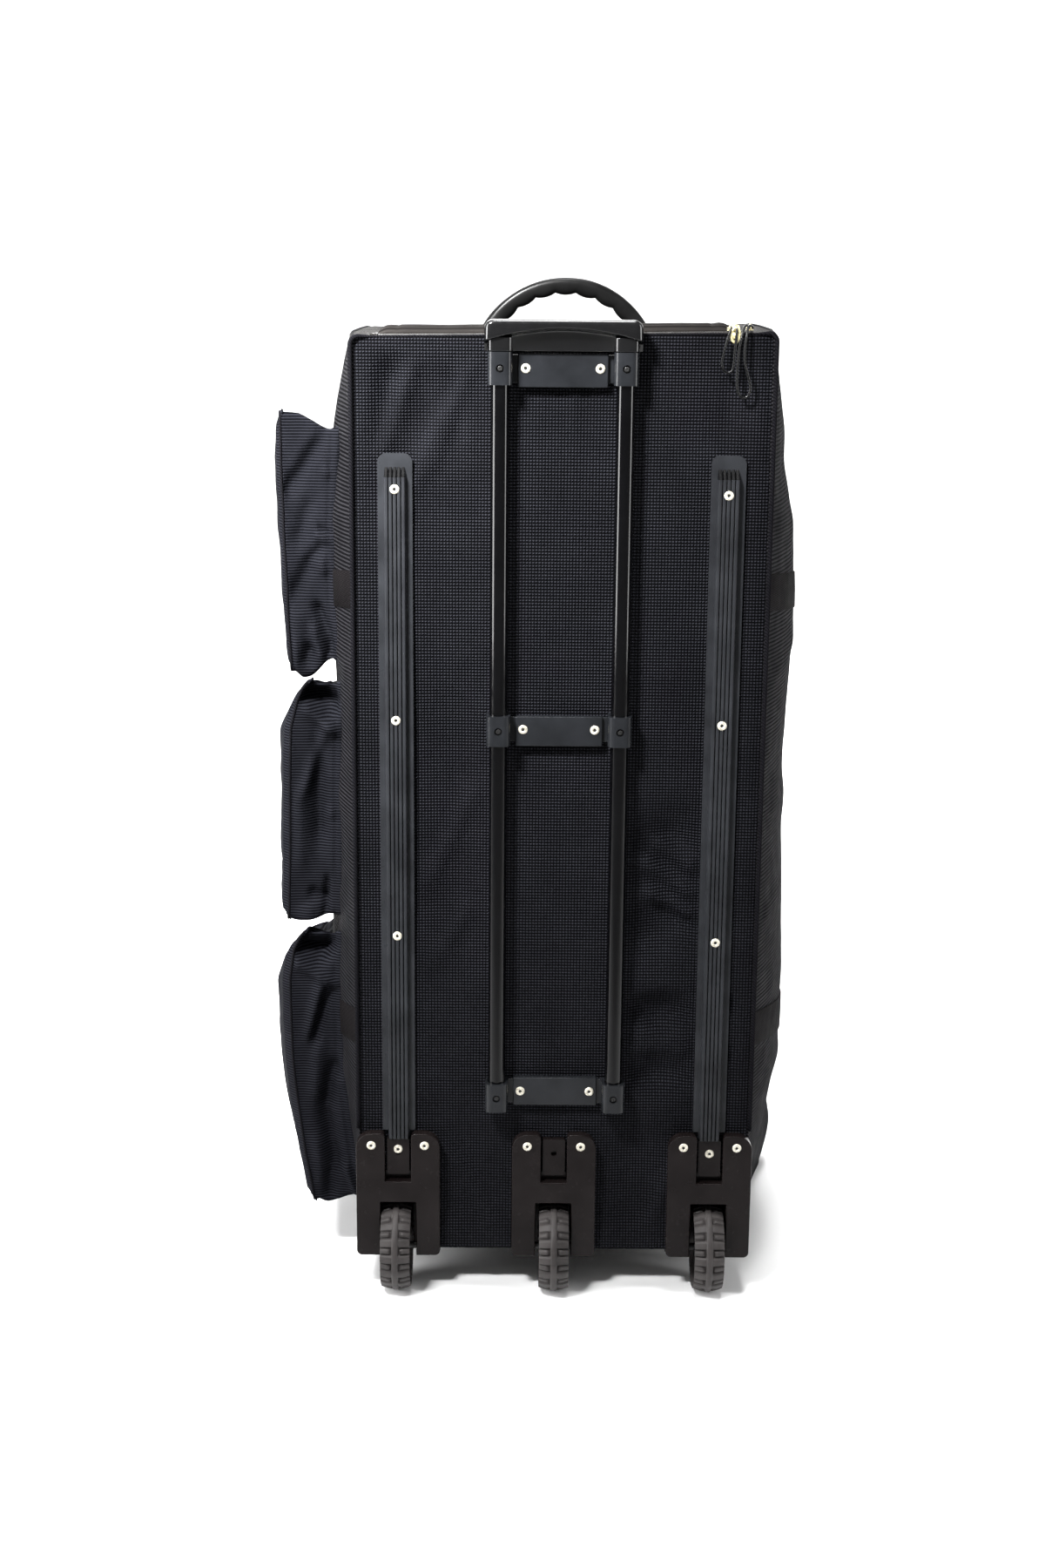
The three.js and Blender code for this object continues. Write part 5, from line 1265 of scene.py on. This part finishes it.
def add_housings():
    for name, x in zip(WHEEL_NAMES, WHEEL_X):
        node = f"{name}_wheel_housing"
        outline = [(x + a, b) for a, b in rounded(HOUSING_CORNERS, 10)]
        shape = Shape().add(*prism(outline, from_panel, GAP, HOUSING_OUT))
        soften(make_piece(f"{node}_face", shape, "housing_plastic", node), 2.0, 4)
        inner = Shape().add(*prism([(x + a, b) for a, b in WELL_ARCH], from_panel, -WELL_DEEP, 0.2))
        wall = oblong((x - WELL_REACH, WELL_BACK_LOW), (x + WELL_REACH, WELL_ROOF))
        inner.add(*prism(wall, from_panel, -WELL_DEEP - WELL_WALL, -WELL_DEEP))
        for low, high in ((-HOUSING_HALF, -WELL_REACH), (WELL_REACH, HOUSING_HALF)):
            ledge = oblong((x + low, HOUSING_LOW), (x + high, HOUSING_LOW + LEDGE_THICK))
            inner.add(*prism(ledge, from_panel, -LEDGE_DEEP, -GAP))
        step = oblong((x - CHANNEL_HALF, CHANNEL_LOW - 2), (x + CHANNEL_HALF, CHANNEL_LOW + 9))
        inner.add(*prism(step, from_panel, GAP, 2.0))
        soften(make_piece(f"{node}_well", inner, "housing_plastic"), 0.6, 2)
        outline = oblong((x - TAB_HALF, CHANNEL_LOW + 7), (x + TAB_HALF, TAB_HIGH), 3, 1.5, 5)
        tab = Shape().add(*prism(outline, from_panel, GAP, TAB_OUT))
        piece = make_piece(f"{node}_tab", tab, "housing_plastic")
        hole = lathe(rod(TAB_HOLE, 2.0, TAB_OUT + 3), 24, facing(x, TAB_HOLE_Z))
        carve(piece, Shape().add(*hole))
        soften(piece, 1.0)


TREAD_PERIODS = 16
# Shares of one period of the tread: the ends of its sunk part and of the pad in that, their slopes,
# and where it has points
SUNK_START, SUNK_END, PAD_START, PAD_END, TREAD_SLOPE = 0.44, 0.96, 0.55, 0.85, 0.03
TREAD_PHASES = np.array([0, 0.15, 0.3, 0.44, 0.47, 0.55, 0.58, 0.715, 0.85, 0.88, 0.96, 0.99])
# Distances from the tyre's middle where it has points, and its two inner rings as distance and radius
TREAD_OUT = [0, 2.2, 2.8, 3.4, 4.0, 5.2, 5.8, 9.0, 12.0, 14.5, 16.1, 16.5]
TYRE_RINGS = [(16.0, 42.0), (14.2, 37.0)]
# Half of a hub's profile, and an axle's profile: radius, distance along
HALF_HUB = [
    (4.3, 13), (11.5, 13), (12, 12.6), (13.6, 9.4), (14.4, 9), (30, 9), (31, 9.6), (33, 11.6), (36.7, 11.6),
]
AXLE = [(0.001, -22.4), (3.6, -22.4), (4, -22), (4, 22), (3.6, 22.4), (0.001, 22.4)]


def between(phase, start, end):
    """1 between two phases, with a short slope up at the start and down at the end."""
    rise = smoothstep(phase, start, start + TREAD_SLOPE)
    return rise * (1 - smoothstep(phase, end, end + TREAD_SLOPE))


def tyre_radius(turn_share, aside):
    """Radius of the tread: a rib round the middle, broad bars, and sunk pads that run out to the edge."""
    out = np.abs(aside)
    crown = WHEEL_RADIUS - 1.2 - 3.4 * np.clip((out - 3) / 13.5, 0, 1) ** 2
    rib = WHEEL_RADIUS - 1.3 * np.clip((out - 2.4) / 1.6, 0, 1)
    phase = (turn_share * TREAD_PERIODS) % 1.0
    sunk = between(phase, SUNK_START, SUNK_END) * smoothstep(out, 3.4, 4.0)
    pad = between(phase, PAD_START, PAD_END) * smoothstep(out, 5.2, 5.8)
    return np.where(out < 3.2, np.maximum(rib, crown), crown) - 3.2 * sunk + 2.6 * pad * sunk


def spun(x):
    """A place on the axis of a wheel."""
    return lambda a, b, level: (x + level, WHEEL_Y + a, WHEEL_RADIUS + b)


def add_wheels():
    turn_shares = np.add.outer(np.arange(TREAD_PERIODS), TREAD_PHASES).ravel() / TREAD_PERIODS
    sines, cosines = np.sin(2 * np.pi * turn_shares), np.cos(2 * np.pi * turn_shares)
    rows = [(aside, tyre_radius(turn_shares, aside)) for aside in TREAD_OUT]
    rows += [(aside, np.full_like(turn_shares, radius)) for aside, radius in TYRE_RINGS]
    rows = [(-aside, radii) for aside, radii in rows[:0:-1]] + rows
    hub_profile = HALF_HUB + [(r, -a) for r, a in HALF_HUB[::-1]]
    for name, x, shift in zip(WHEEL_NAMES, WHEEL_X, WHEEL_SHIFT):
        middle, body = x + shift, f"{name}_wheel"
        rings = []
        for aside, radii in rows:
            flat = np.full_like(radii, middle + aside)
            ring = np.stack([flat, WHEEL_Y + radii * sines, WHEEL_RADIUS + radii * cosines], axis=1)
            rings.append(ring.tolist())
        tyre = Shape().add(*loft(rings, closed=True))
        make_piece(f"{name}_tyre_tread", tyre, "tyre_rubber", f"{name}_tyre", body)
        hub = Shape().add(*lathe(hub_profile, 64, spun(middle)))
        crease(make_piece(f"{name}_hub_disc", hub, "hub_plastic", f"{name}_hub", body), 35)
        axle = Shape().add(*lathe(AXLE, 32, spun(x)))
        crease(make_piece(f"{name}_axle_pin", axle, "axle_steel", f"{name}_axle"), 40)


# Rivets: x, z and how far out from the panel each is seated
RIVET_SUNK = 0.3
RIVET_ROWS = [
    {"out": PLATE_OUT, "at": [(d, z) for z in (1023, 648, 240.5) for d in (-38, 38)]},
    {"out": RAIL_OUT - RIVET_SUNK, "at": [(-RAIL_X, z) for z in (900, 657, 419)]},
    {"out": RAIL_OUT - RIVET_SUNK, "at": [(RAIL_X, z) for z in (896, 654, 414)]},
    {"out": HOUSING_OUT, "at": [(x + d, 176.5) for x in WHEEL_X for d in (-29.5, 29.5)]},
    {"out": TAB_OUT, "at": [(-173, 170), (173, 167)]},
]
# A rivet's profile: radius, height over its seat
RIVET = [(1.7, -0.4), (5, -0.4), (5, 0.3), (4.5, 1.0), (3.6, 1.45), (2.6, 1.5), (1.7, 1.1)]
# A dark plug in each rivet's hole: painted shade for the hole's depth
RIVET_HOLE = rod(1.9, -0.3, 0.35)


def add_rivets():
    rivets, holes = Shape(), Shape()
    for row in RIVET_ROWS:
        for x, z in row["at"]:
            rivets.add(*lathe(RIVET, 28, facing(x, z, row["out"])))
            holes.add(*lathe(RIVET_HOLE, 20, facing(x, z, row["out"])))
    make_piece("rivets", rivets, "rivet_metal")
    # The plugs in the rivet holes are painted shade.
    make_piece("rivet_holes", holes, "painted_hole_shade", smooth=False)


add_camera()
add_stage()
add_lights()
add_pulls()
add_trolley_panel()
add_side(-1, "left_side_panel")
add_side(1, "right_side_panel")
add_front()
add_ends()
add_panel_piping()
for pocket_row in POCKET_ROWS:
    add_pocket(pocket_row)
add_straps()
add_flap()
add_zip()
add_sliders()
add_grab_handle()
add_tubes()
add_brackets()
add_grip()
add_rails()
add_housings()
add_wheels()
add_rivets()
